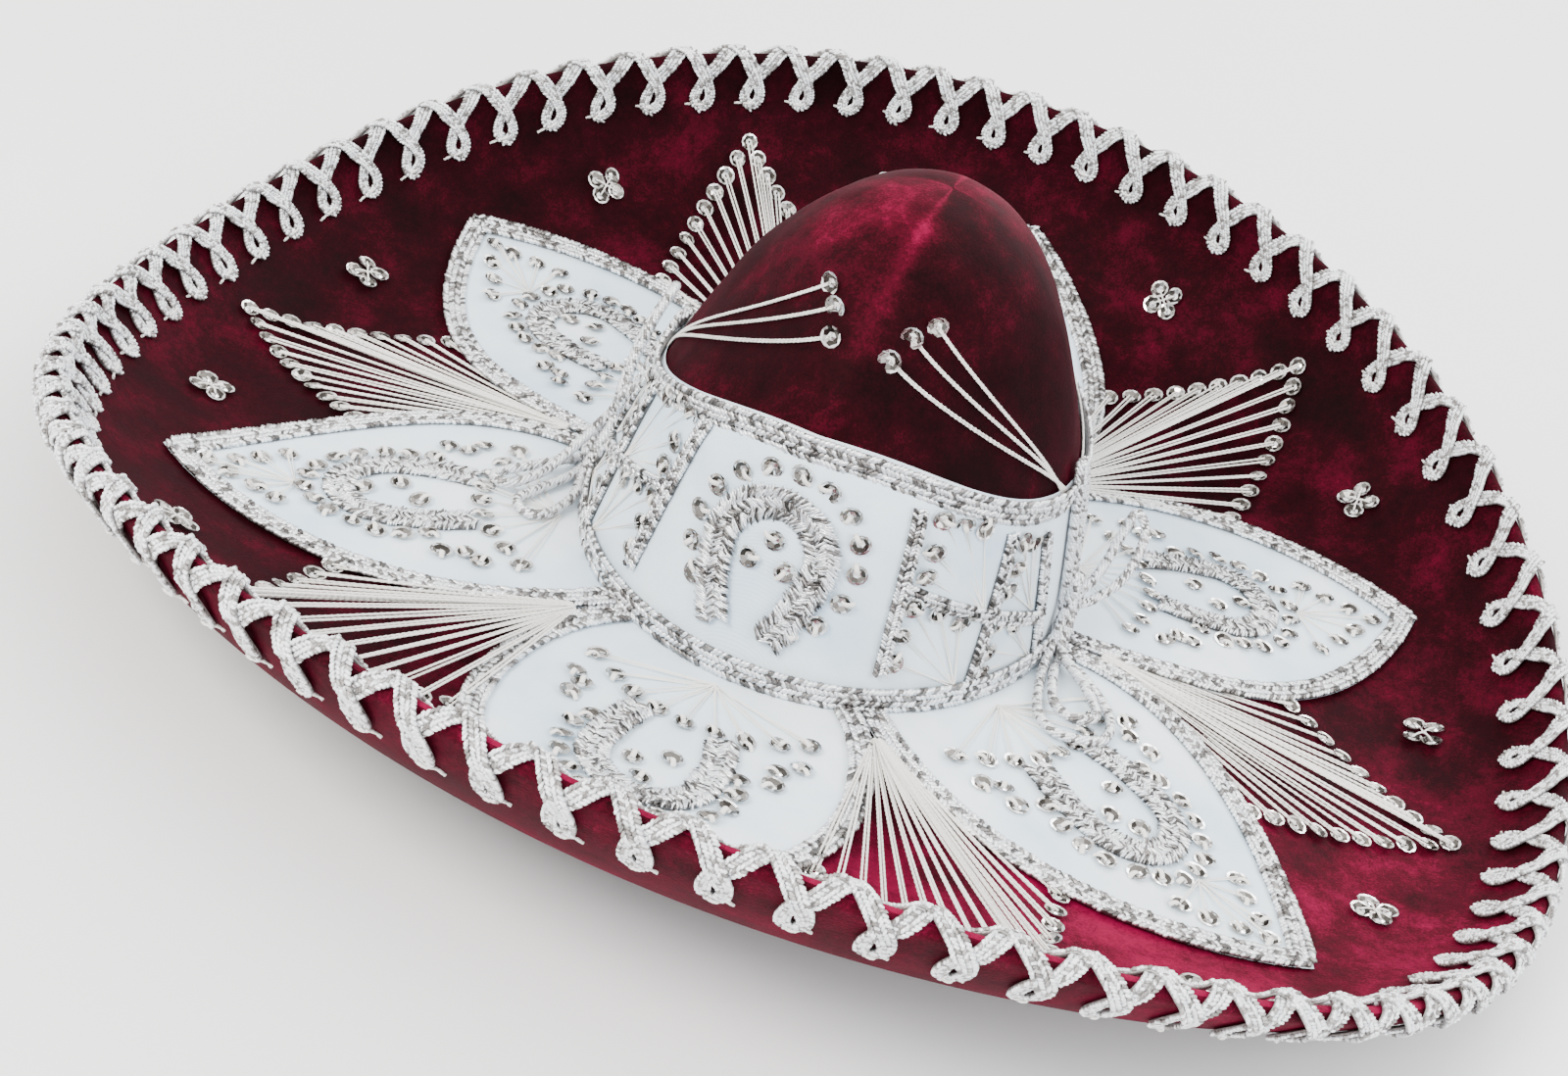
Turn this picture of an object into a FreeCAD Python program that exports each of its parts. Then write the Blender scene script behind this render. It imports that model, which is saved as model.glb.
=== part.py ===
"""A charro sombrero: an upturned velvet brim on a stiff board, a dented crown, and the trim sewn on both.

The crown's base plane is the working plane: X runs ear to ear, Y front to back (the front at -Y), Z up.
Every sub-part is then placed by one shared shift, which puts the origin under the middle of the hat,
at the height of the surface that it lies on. A place on the brim is an angle round the crown and a share
of the brim's sloping length, 0 at the crown and 1 at the rim. Lift is the height above the velvet.
"""

import FreeCAD, Part
import math
import os
from functools import lru_cache

Vector = FreeCAD.Vector

# Driving dimensions: alias, value in millimetres, degrees or shares, meaning.
SIZES = (
    ("crown_half_width", 91, "crown at its base, outside, centre to ear"),
    ("crown_half_depth", 111, "crown at its base, outside, centre to front"),
    ("crown_height", 153.5, "crown above the brim"),
    ("crown_taper", 0.331, "share by which the crown narrows towards its top"),
    ("crown_rounding", 3.84, "power of the crown's rounded top"),
    ("crown_lean", 3.1, "sideways lean of the crown's top"),
    ("dent_share", 0.12, "depth of the four dents, as a share of the crown's radius"),
    ("dent_start", 0.4, "height at which the dents begin, as a share of the crown's"),
    ("dent_power", 1.3, "power that sharpens the ridges between the dents"),
    ("brim_length", 205.6, "mean sloping length of the brim"),
    ("brim_extra_front", 4.4, "extra sloping length at the front and back"),
    ("brim_extra_left", 1.2, "extra sloping length on the wearer's left"),
    ("root_slope", 5.5, "slope of the brim where it leaves the crown"),
    ("ear_slope_inner", -9, "slope over the ears, a third of the way out"),
    ("ear_slope_outer", 1.2, "slope over the ears, two thirds of the way out"),
    ("ear_slope_rim", 59.3, "slope over the ears, at the rim"),
    ("front_slope_inner", 8.1, "slope at the front, a third of the way out"),
    ("front_slope_outer", 41.5, "slope at the front, two thirds of the way out"),
    ("front_slope_rim", 88.1, "slope at the front, at the rim"),
    ("back_lean", 17.8, "extra slope at the back of the rim, and less at the front"),
    ("left_lean", -4.8, "extra slope at the left of the rim"),
    ("corner_lean", -1.7, "extra slope at the four middles of the rim"),
    ("velvet", 1.2, "thickness of the velvet"),
    ("board", 3.2, "thickness of the brim's stiff board"),
    ("shell", 2.2, "thickness of the crown's stiff shell"),
    ("gap", 0.2, "room between layers that lie on each other"),
    ("rim_wire_width", 2.4, "diameter of the wire in the rim"),
    ("lining", 0.5, "thickness of the crown's lining"),
    ("sweatband", 1.2, "thickness of the sweatband"),
    ("sweatband_height", 26, "height of the sweatband"),
    ("band_height", 77.3, "mean height of the hatband's top edge"),
    ("band_rise_left", 3.1, "extra height of the band on the wearer's left"),
    ("band_rise_front", 11.3, "extra height of the band at the front and back"),
    ("cloth", 0.8, "thickness of the white cloth"),
    ("braid_width", 10, "width of the silver edging braid"),
    ("braid", 1.6, "thickness of the silver edging braid"),
    ("petal_start", 0.012, "share of the brim where the petals begin"),
    ("petal_joint", 0.042, "share of the brim up to which the petals touch"),
    ("petal_tip", 0.754, "share of the brim where the petals end"),
    ("petal_swell", 1.55, "power that swells the petals' outline"),
    ("horseshoe_radius", 19, "radius of a petal's horseshoe, to the middle of its stroke"),
    ("horseshoe_stroke", 11, "width of a horseshoe's stroke"),
    ("horseshoe_place", 70, "distance from the crown to the middle of the horseshoe's bend"),
    ("horseshoe_leg", 30, "length of a horseshoe's legs beside its bend"),
    ("embroidery", 2, "thickness of the silver embroidery"),
    ("fan_tip", 0.809, "share of the brim where the thread fans end"),
    ("fan_side", 0.47, "share of the brim where the sides of the fans meet the petals"),
    ("fan_root", 0.1, "share of the brim where a fan's threads gather"),
    ("thread_width", 1, "diameter of the white yarn"),
    ("flower_place", 0.737, "share of the brim where the four-sequin flowers are"),
    ("flower_size", 7, "distance of a flower's sequins from its middle"),
    ("sequin_width", 8, "diameter of a sequin"),
    ("sequin_depth", 1.1, "depth of a sequin's cup"),
    ("sequin_hole", 1.2, "diameter of the hole in a sequin"),
    ("cord_width", 3, "diameter of the silver cord"),
    ("loop_count", 76, "number of loops in the braid laced over the rim"),
    ("loop_crowding_front", 4, "degrees by which the loops crowd towards the front"),
    ("loop_crowding_right", 2.5, "degrees by which the loops crowd towards the wearer's right"),
    ("loop_crowding_ends", 2, "degrees by which the loops crowd towards the front and back"),
    ("loop_length", 25, "reach of a rim loop over the velvet"),
    ("loop_radius", 5.6, "radius of a rim loop's rounded end"),
    ("loop_braid", 2.2, "thickness of the braid in the rim loops"),
    ("shift_x", -2.04, "places the middle of the hat over the origin"),
    ("shift_y", 16.03, "places the middle of the hat over the origin"),
    ("shift_z", 21.27, "places the lowest point of the brim at the origin's height"),
)

PETALS = 6
PETAL_STEP = 360 / PETALS
FIRST_PETAL = PETAL_STEP / 2
FRONT = -90
BACK = 90
LEFT = 0
RIGHT = 180
STATIONS = 24
PROFILE_STEPS = 60
PRISM_LOW = -80
PRISM_HIGH = 260

doc = FreeCAD.newDocument("Sombrero")
sheet = doc.addObject("Spreadsheet::Sheet", "Sizes")
for row, (alias, number, meaning) in enumerate(SIZES, start=1):
    sheet.set(f"A{row}", meaning)
    sheet.set(f"B{row}", str(number))
    sheet.setAlias(f"B{row}", alias)
doc.recompute()

subparts = []


@lru_cache(maxsize=None)
def size(alias):
    """The value of a driving dimension, read from the sheet."""
    return float(sheet.get(alias))


# Geometry of the brim and crown ------------------------------------------------------------------


def through_four(values, share):
    """The cubic through four evenly spaced values, read at a share from 0 to 1."""
    step = 3 * share
    first = values[1] - values[0]
    second = values[2] - 2 * values[1] + values[0]
    third = values[3] - 3 * values[2] + 3 * values[1] - values[0]
    bend = second * step * (step - 1) / 2
    return values[0] + first * step + bend + third * step * (step - 1) * (step - 2) / 6


def slope(angle, share):
    """The brim's slope in radians."""
    ear = [size(n) for n in ("root_slope", "ear_slope_inner", "ear_slope_outer", "ear_slope_rim")]
    front = [size(n) for n in ("root_slope", "front_slope_inner", "front_slope_outer", "front_slope_rim")]
    towards_front = math.sin(angle) ** 2
    lean = size("back_lean") * math.sin(angle) + size("left_lean") * math.cos(angle)
    lean += size("corner_lean") * math.cos(4 * angle)
    flat = through_four(ear, share)
    steep = through_four(front, share)
    return math.radians(flat + (steep - flat) * towards_front + lean * share**1.5)


def brim_length(angle):
    """Sloping length of the brim from the crown to the rim."""
    front = size("brim_extra_front") * math.cos(2 * angle)
    return size("brim_length") - front + size("brim_extra_left") * math.cos(angle)


@lru_cache(maxsize=None)
def profile(angle):
    """Distance out, rise and slope along the brim's section, at even steps from crown to rim."""
    length = brim_length(angle) / PROFILE_STEPS
    out, rise = 0.0, 0.0
    points = [(out, rise, slope(angle, 0))]
    for step in range(1, PROFILE_STEPS + 1):
        middle = slope(angle, (step - 0.5) / PROFILE_STEPS)
        out += length * math.cos(middle)
        rise += length * math.sin(middle)
        points.append((out, rise, slope(angle, step / PROFILE_STEPS)))
    return points


def brim_point(degrees, share, lift=0.0):
    """A point on the brim, lifted square to the section's slope."""
    angle = math.radians(round(degrees % 360, 6))
    points = profile(angle)
    place = min(max(share, 0), 1) * PROFILE_STEPS
    index = min(int(place), PROFILE_STEPS - 1)
    part = place - index
    out, rise, tilt = (a + (b - a) * part for a, b in zip(points[index], points[index + 1]))
    beyond = (share - 1) * brim_length(angle) if share > 1 else 0
    out += beyond * math.cos(tilt) - lift * math.sin(tilt)
    rise += beyond * math.sin(tilt) + lift * math.cos(tilt)
    half_width, half_depth = size("crown_half_width"), size("crown_half_depth")
    outward = Vector(math.cos(angle) / half_width, math.sin(angle) / half_depth, 0)
    outward.normalize()
    foot = Vector(half_width * math.cos(angle), half_depth * math.sin(angle), 0)
    return foot + outward * out + Vector(0, 0, rise)


def crown_point(degrees, height, lift=0.0):
    """A point on the crown at a height above its base, lifted off its velvet."""
    angle = math.radians(degrees)
    share = max(height, 0) / (size("crown_height") + lift)
    radius = (1 - size("crown_taper") * share) * math.sqrt(max(0, 1 - share ** size("crown_rounding")))
    dent = max(0, (share - size("dent_start")) / (1 - size("dent_start")))
    around = abs(math.sin(2 * angle)) ** size("dent_power")
    radius *= 1 - size("dent_share") * around * math.sin(math.pi * dent) ** 2
    x = (size("crown_half_width") + lift) * radius * math.cos(angle) + size("crown_lean") * share
    y = (size("crown_half_depth") + lift) * radius * math.sin(angle)
    return Vector(x, y, height)


def band_top(degrees):
    """Height of the hatband's top edge, lower over the ears than at the front and back."""
    angle = math.radians(degrees)
    left = size("band_rise_left") * math.cos(angle)
    return size("band_height") + left - size("band_rise_front") * math.cos(2 * angle)


def around_rate(degrees, share):
    """Millimetres round the brim for one degree of angle."""
    return (brim_point(degrees + 0.5, share) - brim_point(degrees - 0.5, share)).Length


def chart(centre, across, out):
    """Angle and share of the point that lies across from a petal's middle line and out from the crown."""
    share = out / brim_length(math.radians(centre))
    return centre + across / around_rate(centre, share), share


def frame_at(surface, a, b, lift):
    """Placement on a surface: X round the hat, Z out of the surface."""
    origin = surface(a, b, lift)
    round_hat = surface(a + 0.5, b, lift) - surface(a - 0.5, b, lift)
    normal = surface(a, b, lift + 0.5) - origin
    return FreeCAD.Placement(origin, FreeCAD.Rotation(round_hat, Vector(0, 0, 0), normal, "ZXY"))


# Solids ------------------------------------------------------------------------------------------


def add(name, shape):
    """Adds a sub-part whose shape is worked out here, placed by the shared shift."""
    feature = doc.addObject("Part::Feature", name)
    feature.Shape = shape
    return place(feature, name)


def place(feature, name):
    """Names a sub-part, moves it by the shared shift and keeps it for export."""
    feature.Label = name
    feature.Placement = FreeCAD.Placement(shift(), feature.Placement.Rotation)
    subparts.append(feature)
    return feature


def shift():
    """The shared shift from the crown's base plane to the hat's own origin."""
    return Vector(size("shift_x"), size("shift_y"), size("shift_z"))


def ring(point_at):
    """A closed smooth edge through points at even angles round the hat."""
    curve = Part.BSplineCurve()
    points = [point_at(360 * i / STATIONS) for i in range(STATIONS)]
    curve.interpolate(Points=points, PeriodicFlag=True)
    return curve.toShape()


def skin(edges, ruled=False):
    """The faces that pass through closed edges in turn."""
    return Part.makeLoft([Part.Wire([edge]) for edge in edges], False, ruled).Faces


def solid_of(faces):
    """The solid that closed faces bound."""
    solid = Part.Solid(Part.Shell(faces))
    if solid.Volume < 0:
        solid.reverse()
    return solid


def layer(low_rings, high_rings):
    """A shell-like solid between two sets of rings, closed at both of its edges."""
    faces = skin(low_rings) + skin(high_rings)
    faces += skin([low_rings[0], high_rings[0]], ruled=True)
    faces += skin([low_rings[-1], high_rings[-1]], ruled=True)
    return solid_of(faces)


def brim_layer(low, high, start=0.0, end=1.0, trim=0.0):
    """A layer of the brim between two lifts, stopping a trimmed length short of the rim."""
    rings = 9
    rows = []
    for lift in (low, high):
        row = []
        for i in range(rings):
            share = start + (end - start) * i / (rings - 1)
            cut = trim * i / (rings - 1)
            row.append(ring(lambda a: brim_point(a, share - cut / size("brim_length"), lift)))
        rows.append(row)
    return layer(*rows)


def crown_layer(low, high, base):
    """A closed cap over the crown between two lifts, open underneath."""
    rings = 14
    top_share = 0.96
    faces = []
    rims = []
    for lift in (low, high):
        top = size("crown_height") + lift
        row = []
        for i in range(rings):
            share = 1 - (1 - top_share * i / (rings - 1)) ** 2
            row.append(ring(lambda a: crown_point(a, base + (top - base) * share, lift)))
        faces += skin(row)
        faces.append(Part.Face(Part.Wire([row[-1]])))
        rims.append(row[0])
    faces += skin(rims, ruled=True)
    return solid_of(faces)


def crown_strip(low_edge, high_edge, low, high):
    """A strip round the crown between two heights, each of which may change with the angle."""
    rings = 4
    rows = []
    for lift in (low, high):
        row = []
        for i in range(rings):
            part = i / (rings - 1)
            row.append(
                ring(lambda a: crown_point(a, low_edge(a) + (high_edge(a) - low_edge(a)) * part, lift))
            )
        rows.append(row)
    return layer(*rows)


def curve_through(points):
    """A smooth edge through points."""
    curve = Part.BSplineCurve()
    curve.interpolate(points)
    return curve.toShape()


def line(a, b):
    """A straight edge."""
    return Part.LineSegment(a, b).toShape()


def in_plan(places):
    """The points of brim places as seen from above, dropped below the hat."""
    points = [brim_point(*place) for place in places]
    return [Vector(p.x, p.y, PRISM_LOW) for p in points]


def prism(edges, up=Vector(0, 0, PRISM_HIGH - PRISM_LOW)):
    """The upright prism over a closed flat outline."""
    return Part.Face(Part.Wire(edges)).extrude(up)


def tube(points, width):
    """A round cord along a smooth path."""
    curve = Part.BSplineCurve()
    curve.interpolate(points)
    start, along = curve.value(curve.FirstParameter), curve.tangent(curve.FirstParameter)[0]
    section = Part.Wire([Part.makeCircle(width / 2, start, along)])
    return Part.Wire([curve.toShape()]).makePipeShell([section], True, True)


def rim_tube(share, lift, width):
    """A round wire that runs all the way round the brim."""
    half = 4
    rings = []
    for i in range(2 * half):
        turn = math.pi * i / half
        outward = width / 2 * math.cos(turn) / size("brim_length")
        rings.append(ring(lambda a: brim_point(a, share + outward, lift + width / 2 * math.sin(turn))))
    return solid_of(skin(rings[: half + 1]) + skin(rings[half:] + rings[:1]))


def rod(start, end, width):
    """A straight round rod between two points."""
    along = end - start
    return Part.makeCylinder(width / 2, along.Length, start, along)


# Brim and crown ----------------------------------------------------------------------------------


def add_brim():
    """Two velvet covers with the stiff board between them, and the wire that holds the rim."""
    velvet, board, gap = size("velvet"), size("board"), size("gap")
    board_top = -velvet - gap
    under_top = board_top - board - gap
    wire = size("rim_wire_width")
    add("brim_top_velvet", brim_layer(-velvet, 0))
    add("brim_board", brim_layer(board_top - board, board_top, trim=2.5 * wire))
    add("brim_under_velvet", brim_layer(under_top - velvet, under_top))
    middle = board_top - board / 2
    share = 1 - wire / size("brim_length")
    add("rim_wire", rim_tube(share, middle, wire))
    return under_top - velvet


def add_crown(base):
    """The velvet, the stiff shell and the lining, one inside the other."""
    velvet, shell, gap, lining = size("velvet"), size("shell"), size("gap"), size("lining")
    inside = -gap
    add("crown_velvet", crown_layer(inside - velvet, inside, base))
    inside -= velvet + gap
    add("crown_shell", crown_layer(inside - shell, inside, base))
    inside -= shell + gap
    add("crown_lining", crown_layer(inside - lining, inside, base))
    return inside - lining - gap


def add_sweatband(outside, base):
    """The leather band that touches the head: a flat-edged oval pad of a sketch with two ellipses."""
    body = doc.addObject("PartDesign::Body", "sweatband_body")
    sketch = body.newObject("Sketcher::SketchObject", "sweatband_outline")
    planes = [f for f in body.Origin.OriginFeatures if f.Role == "XY_Plane"]
    sketch.AttachmentSupport = [(planes[0], "")]
    sketch.MapMode = "FlatFace"
    taper = 1 - size("crown_taper") * size("sweatband_height") / size("crown_height")
    for inset in (0, size("sweatband")):
        half_width = (size("crown_half_width") + outside) * taper - inset
        half_depth = (size("crown_half_depth") + outside) * taper - inset
        sketch.addGeometry(Part.Ellipse(Vector(0, half_depth, 0), Vector(half_width, 0, 0), Vector(0, 0, 0)))
    pad = body.newObject("PartDesign::Pad", "sweatband_pad")
    pad.Profile = sketch
    pad.setExpression("Length", "Sizes.sweatband_height")
    doc.recompute()
    place(body, "sweatband")
    body.Placement.Base += Vector(0, 0, base)


# Hatband -----------------------------------------------------------------------------------------


def add_hatband():
    """White cloth round the crown, with a silver braid along both of its edges."""
    cloth, braid, width, gap = size("cloth"), size("braid"), size("braid_width"), size("gap")
    low = 3.2
    add("hatband", crown_strip(lambda a: low, band_top, gap, gap + cloth))
    over = cloth + 2 * gap
    add("band_bottom_braid", crown_strip(lambda a: low, lambda a: low + width, over, over + braid))
    add("band_top_braid", crown_strip(lambda a: band_top(a) - width, band_top, over, over + braid))
    return over


def on_band(degrees, outline, low):
    """A patch of embroidery on the band: an outline in its tangent plane, pressed on to the crown."""
    height = band_top(degrees) / 2
    base = FreeCAD.Placement(Vector(0, 0, height), FreeCAD.Rotation(Vector(0, 0, 1), degrees + 90))
    base = base.multiply(FreeCAD.Placement(Vector(0, 0, 0), FreeCAD.Rotation(Vector(1, 0, 0), 90)))
    block = prism(outline, Vector(0, 0, 2 * size("crown_half_depth")))
    block.Placement = base.multiply(block.Placement)
    full = crown_strip(lambda a: 4, lambda a: band_top(a) - 4, low, low + size("embroidery"))
    return full.common(block)


def bar_outline(x, y, length, width, tilt):
    """A slanted straight bar."""
    turn = math.radians(tilt)
    along = Vector(math.sin(turn), math.cos(turn), 0) * (length / 2)
    side = Vector(math.cos(turn), -math.sin(turn), 0) * (width / 2)
    middle = Vector(x, y, 0)
    corners = [middle - along - side, middle + along - side, middle + along + side, middle - along + side]
    return [line(a, b) for a, b in zip(corners, corners[1:] + corners[:1])]


def horseshoe_outline(radius, leg, stroke, place, turn):
    """A horseshoe: a half-round bend with two legs that draw together a little. place turns x, y into a point."""
    edges = []
    ends = []
    for side, edge_radius in ((1, radius + stroke / 2), (-1, radius - stroke / 2)):
        count = 9
        angles = [math.pi * i / (count - 1) for i in range(count)]
        bend = [(edge_radius * math.cos(a), edge_radius * math.sin(a)) for a in angles]
        draw_in = 0.85
        start = (edge_radius * draw_in, -leg)
        points = [start] + bend + [(-start[0], -leg)]
        points = points[::side]
        edges.append(curve_through([place(*turned(x, y, turn)) for x, y in points]))
        ends.append([place(*turned(x, y, turn)) for x, y in (points[0], points[-1])])
    return [edges[0], line(ends[0][1], ends[1][0]), edges[1], line(ends[1][1], ends[0][0])]


def turned(x, y, degrees):
    """A flat point turned about the origin."""
    turn = math.radians(degrees)
    return x * math.cos(turn) - y * math.sin(turn), x * math.sin(turn) + y * math.cos(turn)


def add_band_embroidery(low):
    """A horseshoe at the front and back of the band, and an H of three bars on each side of it."""
    stroke, bar_width, bar_length = 12, 5.5, 58
    tilt = 14
    for name, middle in (("front", FRONT), ("back", BACK)):
        outline = horseshoe_outline(20, 28, stroke, lambda x, y: Vector(x, y, 0), tilt)
        add(f"band_horseshoe_{name}", on_band(middle, outline, low))
    for name, middle in (("front_left", -43), ("back_left", 43), ("back_right", 137), ("front_right", 223)):
        across = 13
        bars = [bar_outline(side * across, 0, bar_length, bar_width, 2) for side in (-1, 1)]
        bars.append(bar_outline(0, 0, 2 * across - bar_width - 1, bar_width, 90))
        solids = [on_band(middle, bar, low) for bar in bars]
        add(f"band_h_{name}", Part.makeCompound(solids))


# Petals ------------------------------------------------------------------------------------------


def half_angle(share):
    """Half of a petal's angle: full where the petals touch, nothing at the tip."""
    start, tip = size("petal_joint"), size("petal_tip")
    part = min(max((share - start) / (tip - start), 0), 1)
    touching = PETAL_STEP / 2 - 0.2
    return touching * (1 - part ** size("petal_swell")) ** 0.95


def petal_side(centre, inset):
    """One side of a petal's outline, as places from the crown to its middle line, set in by a width."""
    steps = 60
    start, tip = size("petal_start"), size("petal_tip")
    length = brim_length(math.radians(centre))
    places = []
    for i in range(steps + 1):
        share = start + (tip - start) * i / steps
        places.append((half_angle(share) * around_rate(centre, share), share * length))
    inner = []
    for before, here, after in zip(places, places[1:], places[2:]):
        along = Vector(after[0] - before[0], after[1] - before[1], 0)
        along.normalize()
        inner.append((here[0] - along.y * inset, here[1] + along.x * inset))
    inner = [p for p in inner if p[0] > 0]
    last = inner[-1]
    before = inner[-2]
    reach = last[1] + (last[1] - before[1]) * last[0] / (before[0] - last[0])
    inner = [(inner[0][0], places[0][1])] + inner[3::6] + [(0, reach)]
    return [(x / around_rate(centre, y / length), y / length) for x, y in inner]


def petal_prism(centre, inset=0.0):
    """The upright prism over a petal's outline."""
    side = petal_side(centre, inset)
    right = in_plan([(centre + a, share) for a, share in side])
    left = in_plan([(centre - a, share) for a, share in side])
    return prism([line(left[0], right[0]), curve_through(right), curve_through(left[::-1])])


def add_petals():
    """Six white petals with a silver braid round each and a horseshoe on it."""
    cloth, braid, gap = size("cloth"), size("braid"), size("gap")
    reach = size("petal_tip") + 0.05
    start = size("petal_start")
    cloth_layer = brim_layer(gap, gap + cloth, start, reach)
    over = cloth + 2 * gap
    braid_layer = brim_layer(over, over + braid, start, reach)
    silver_layer = brim_layer(over, over + size("embroidery"), start, reach)
    for i in range(PETALS):
        centre = FIRST_PETAL + PETAL_STEP * i
        outline = petal_prism(centre)
        add(f"petal_{i + 1}", cloth_layer.common(outline))
        edging = outline.cut(petal_prism(centre, size("braid_width") * 0.9))
        add(f"petal_edging_{i + 1}", braid_layer.common(edging))
        add(f"petal_horseshoe_{i + 1}", silver_layer.common(petal_horseshoe(centre)))
    return over


def petal_horseshoe(centre):
    """The upright prism over a petal's horseshoe, whose legs point at the crown."""

    def place(x, y):
        return in_plan([chart(centre, x, size("horseshoe_place") + y)])[0]

    outline = horseshoe_outline(
        size("horseshoe_radius"), size("horseshoe_leg"), size("horseshoe_stroke"), place, 0
    )
    return prism(outline)


# Sequins, threads and cords ----------------------------------------------------------------------


def make_sequin():
    """One sequin: a shallow cup with a hole, bound to the sheet."""
    cup = doc.addObject("Part::Cone", "sequin_cup")
    cup.setExpression("Radius1", "Sizes.sequin_width * 0.3")
    cup.setExpression("Radius2", "Sizes.sequin_width / 2")
    cup.setExpression("Height", "Sizes.sequin_depth")
    hole = doc.addObject("Part::Cylinder", "sequin_hole_tool")
    hole.setExpression("Radius", "Sizes.sequin_hole / 2")
    hole.setExpression("Height", "Sizes.sequin_depth")
    sequin = doc.addObject("Part::Cut", "sequin")
    sequin.Base = cup
    sequin.Tool = hole
    doc.recompute()
    return sequin.Shape


def copies(shape, placements):
    """Separate copies of one shape, one at each placement."""
    solids = []
    for placement in placements:
        copy = shape.copy()
        copy.Placement = placement.multiply(copy.Placement)
        solids.append(copy)
    return Part.makeCompound(solids)


def petal_sequin_spots():
    """Where the sequins lie on a petal: across from its middle line and out from the crown."""
    spots = [(x, 38 - 0.006 * x * x) for x in range(-42, 43, 12)]
    ring_radius = size("horseshoe_radius") + size("horseshoe_stroke") / 2 + 5.5
    bend = size("horseshoe_place")
    for i in range(11):
        angle = math.pi * i / 10
        spots.append((ring_radius * math.cos(angle), bend + ring_radius * math.sin(angle)))
    spots += [(side * (ring_radius - 1.5), bend - 10.5) for side in (-1, 1)]
    spots += [(0, bend + 7), (-6, bend - 4), (5, bend - 13)]
    spots += [(side * 6 * i, 135 - 8.3 * i) for i in range(4) for side in ((1, -1) if i else (1,))]
    for side in (-1, 1):
        spots += [(side * 43, 44), (side * 38, 52), (side * 47, 52)]
    return spots


def fan_ends():
    """Where a fan's threads end, as shares of the way from its tip to each side, both sides in turn."""
    per_side = 9
    return [(side, i / per_side) for i in range(per_side + 1) for side in ((1, -1) if i else (1,))]


def fan_place(centre, side, part):
    """Angle and share of a fan's sequin: on a straight line from the tip to the petal beside it."""
    share = size("fan_tip") + (size("fan_side") - size("fan_tip")) * part
    beside = PETAL_STEP / 2 - half_angle(size("fan_side")) - 1
    across = beside * around_rate(centre, size("fan_side")) * part
    return centre + side * across / around_rate(centre, share), share


def add_sequins(on_cloth, on_band_cloth):
    """Sequins on the petals, at the ends of the fans, in flowers, on the band and on the crown."""
    sequin = make_sequin()
    gap = size("gap")
    petals = []
    fans = []
    flowers = []
    for i in range(PETALS):
        centre = FIRST_PETAL + PETAL_STEP * i
        for x, y in petal_sequin_spots():
            petals.append(frame_at(brim_point, *chart(centre, x, y), on_cloth + gap))
        fan = PETAL_STEP * i
        for side, part in fan_ends():
            fans.append(frame_at(brim_point, *fan_place(fan, side, part), 2 * gap))
    for i in range(2 * PETALS):
        centre = PETAL_STEP / 4 + PETAL_STEP * i / 2
        middle = size("flower_place") * brim_length(math.radians(centre))
        for dx, dy in ((1, 1), (1, -1), (-1, 1), (-1, -1)):
            reach = size("flower_size") * 0.71
            flowers.append(frame_at(brim_point, *chart(centre, dx * reach, middle + dy * reach), 2 * gap))
    add("petal_sequins", copies(sequin, petals))
    add("fan_sequins", copies(sequin, fans))
    add("flower_sequins", copies(sequin, flowers))
    band = []
    for middle in (FRONT, BACK):
        for i in range(12):
            around, up = turned(33 * math.cos(math.pi * i / 11), 33 * math.sin(math.pi * i / 11), 14)
            degrees = middle + math.degrees(around / size("crown_half_depth")) * 1.2
            band.append(frame_at(crown_point, degrees, band_top(middle) / 2 - 4 + 0.85 * up, on_band_cloth + gap))
    for middle in (-43, 43, 137, 223):
        for side in (-1, 1):
            for i in range(3):
                degrees = middle + 5 * (i - 1)
                height = band_top(middle) / 2 + side * (9 + 3 * abs(i - 1))
                band.append(frame_at(crown_point, degrees, height, on_band_cloth + gap))
    add("band_sequins", copies(sequin, band))
    crown = [frame_at(crown_point, degrees, height, 2 * gap) for degrees, height in crown_spots()]
    add("crown_sequins", copies(sequin, crown))


def crown_spots():
    """Angle and height of the three sequins in each of the crown's four dents."""
    spots = []
    for seam, side in ((LEFT, -1), (LEFT, 1), (RIGHT, -1), (RIGHT, 1)):
        for away, height in ((76, 114), (70, 121), (62, 127)):
            spots.append((seam + side * away, height))
    return spots


def gather(corners, width):
    """The flat wedge of yarn where a fan's threads run together, between its root and its outer threads."""
    root = corners[0]
    reach = 0.9
    flat = [root] + [root + (corner - root) * reach for corner in corners[1:]]
    normal = (flat[1] - root).cross(flat[2] - root).normalize()
    return Part.Face(Part.makePolygon(flat + flat[:1])).extrude(normal * width)


def add_threads(low):
    """White yarn: a fan in each gap between petals, and three strands to each dent of the crown."""
    width = size("thread_width")
    gathered = 18 * width
    for i in range(PETALS):
        fan = PETAL_STEP * i
        root = brim_point(fan, size("fan_root"), low + 2 * width)
        strands = []
        for index, (side, part) in enumerate(sorted(fan_ends(), key=lambda end: end[0] * end[1])):
            end = brim_point(*fan_place(fan, side, part), size("sequin_depth") + width)
            along = (end - root).normalize()
            pile = Vector(0, 0, 1.4 * width * (index % 2))
            strands.append(rod(root + along * gathered + pile, end, width))
        corners = [root, strands[0].Vertexes[0].Point, strands[-1].Vertexes[0].Point]
        add(f"thread_fan_{i + 1}", Part.makeCompound([gather(corners, width)] + strands))
    strands = []
    for index, (degrees, height) in enumerate(crown_spots()):
        seam = LEFT if index < 6 else RIGHT
        side = 1 if degrees > seam else -1
        steps = 6
        start = seam + side * (6 + 2 * (index % 3))
        low_end = band_top(seam) + 6
        path = []
        for step in range(steps + 1):
            part = step / steps
            path.append(crown_point(start + (degrees - start) * part, low_end + (height - low_end) * part, 2.4))
        strands.append(tube(path, width))
    add("crown_threads", Part.makeCompound(strands))


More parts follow.
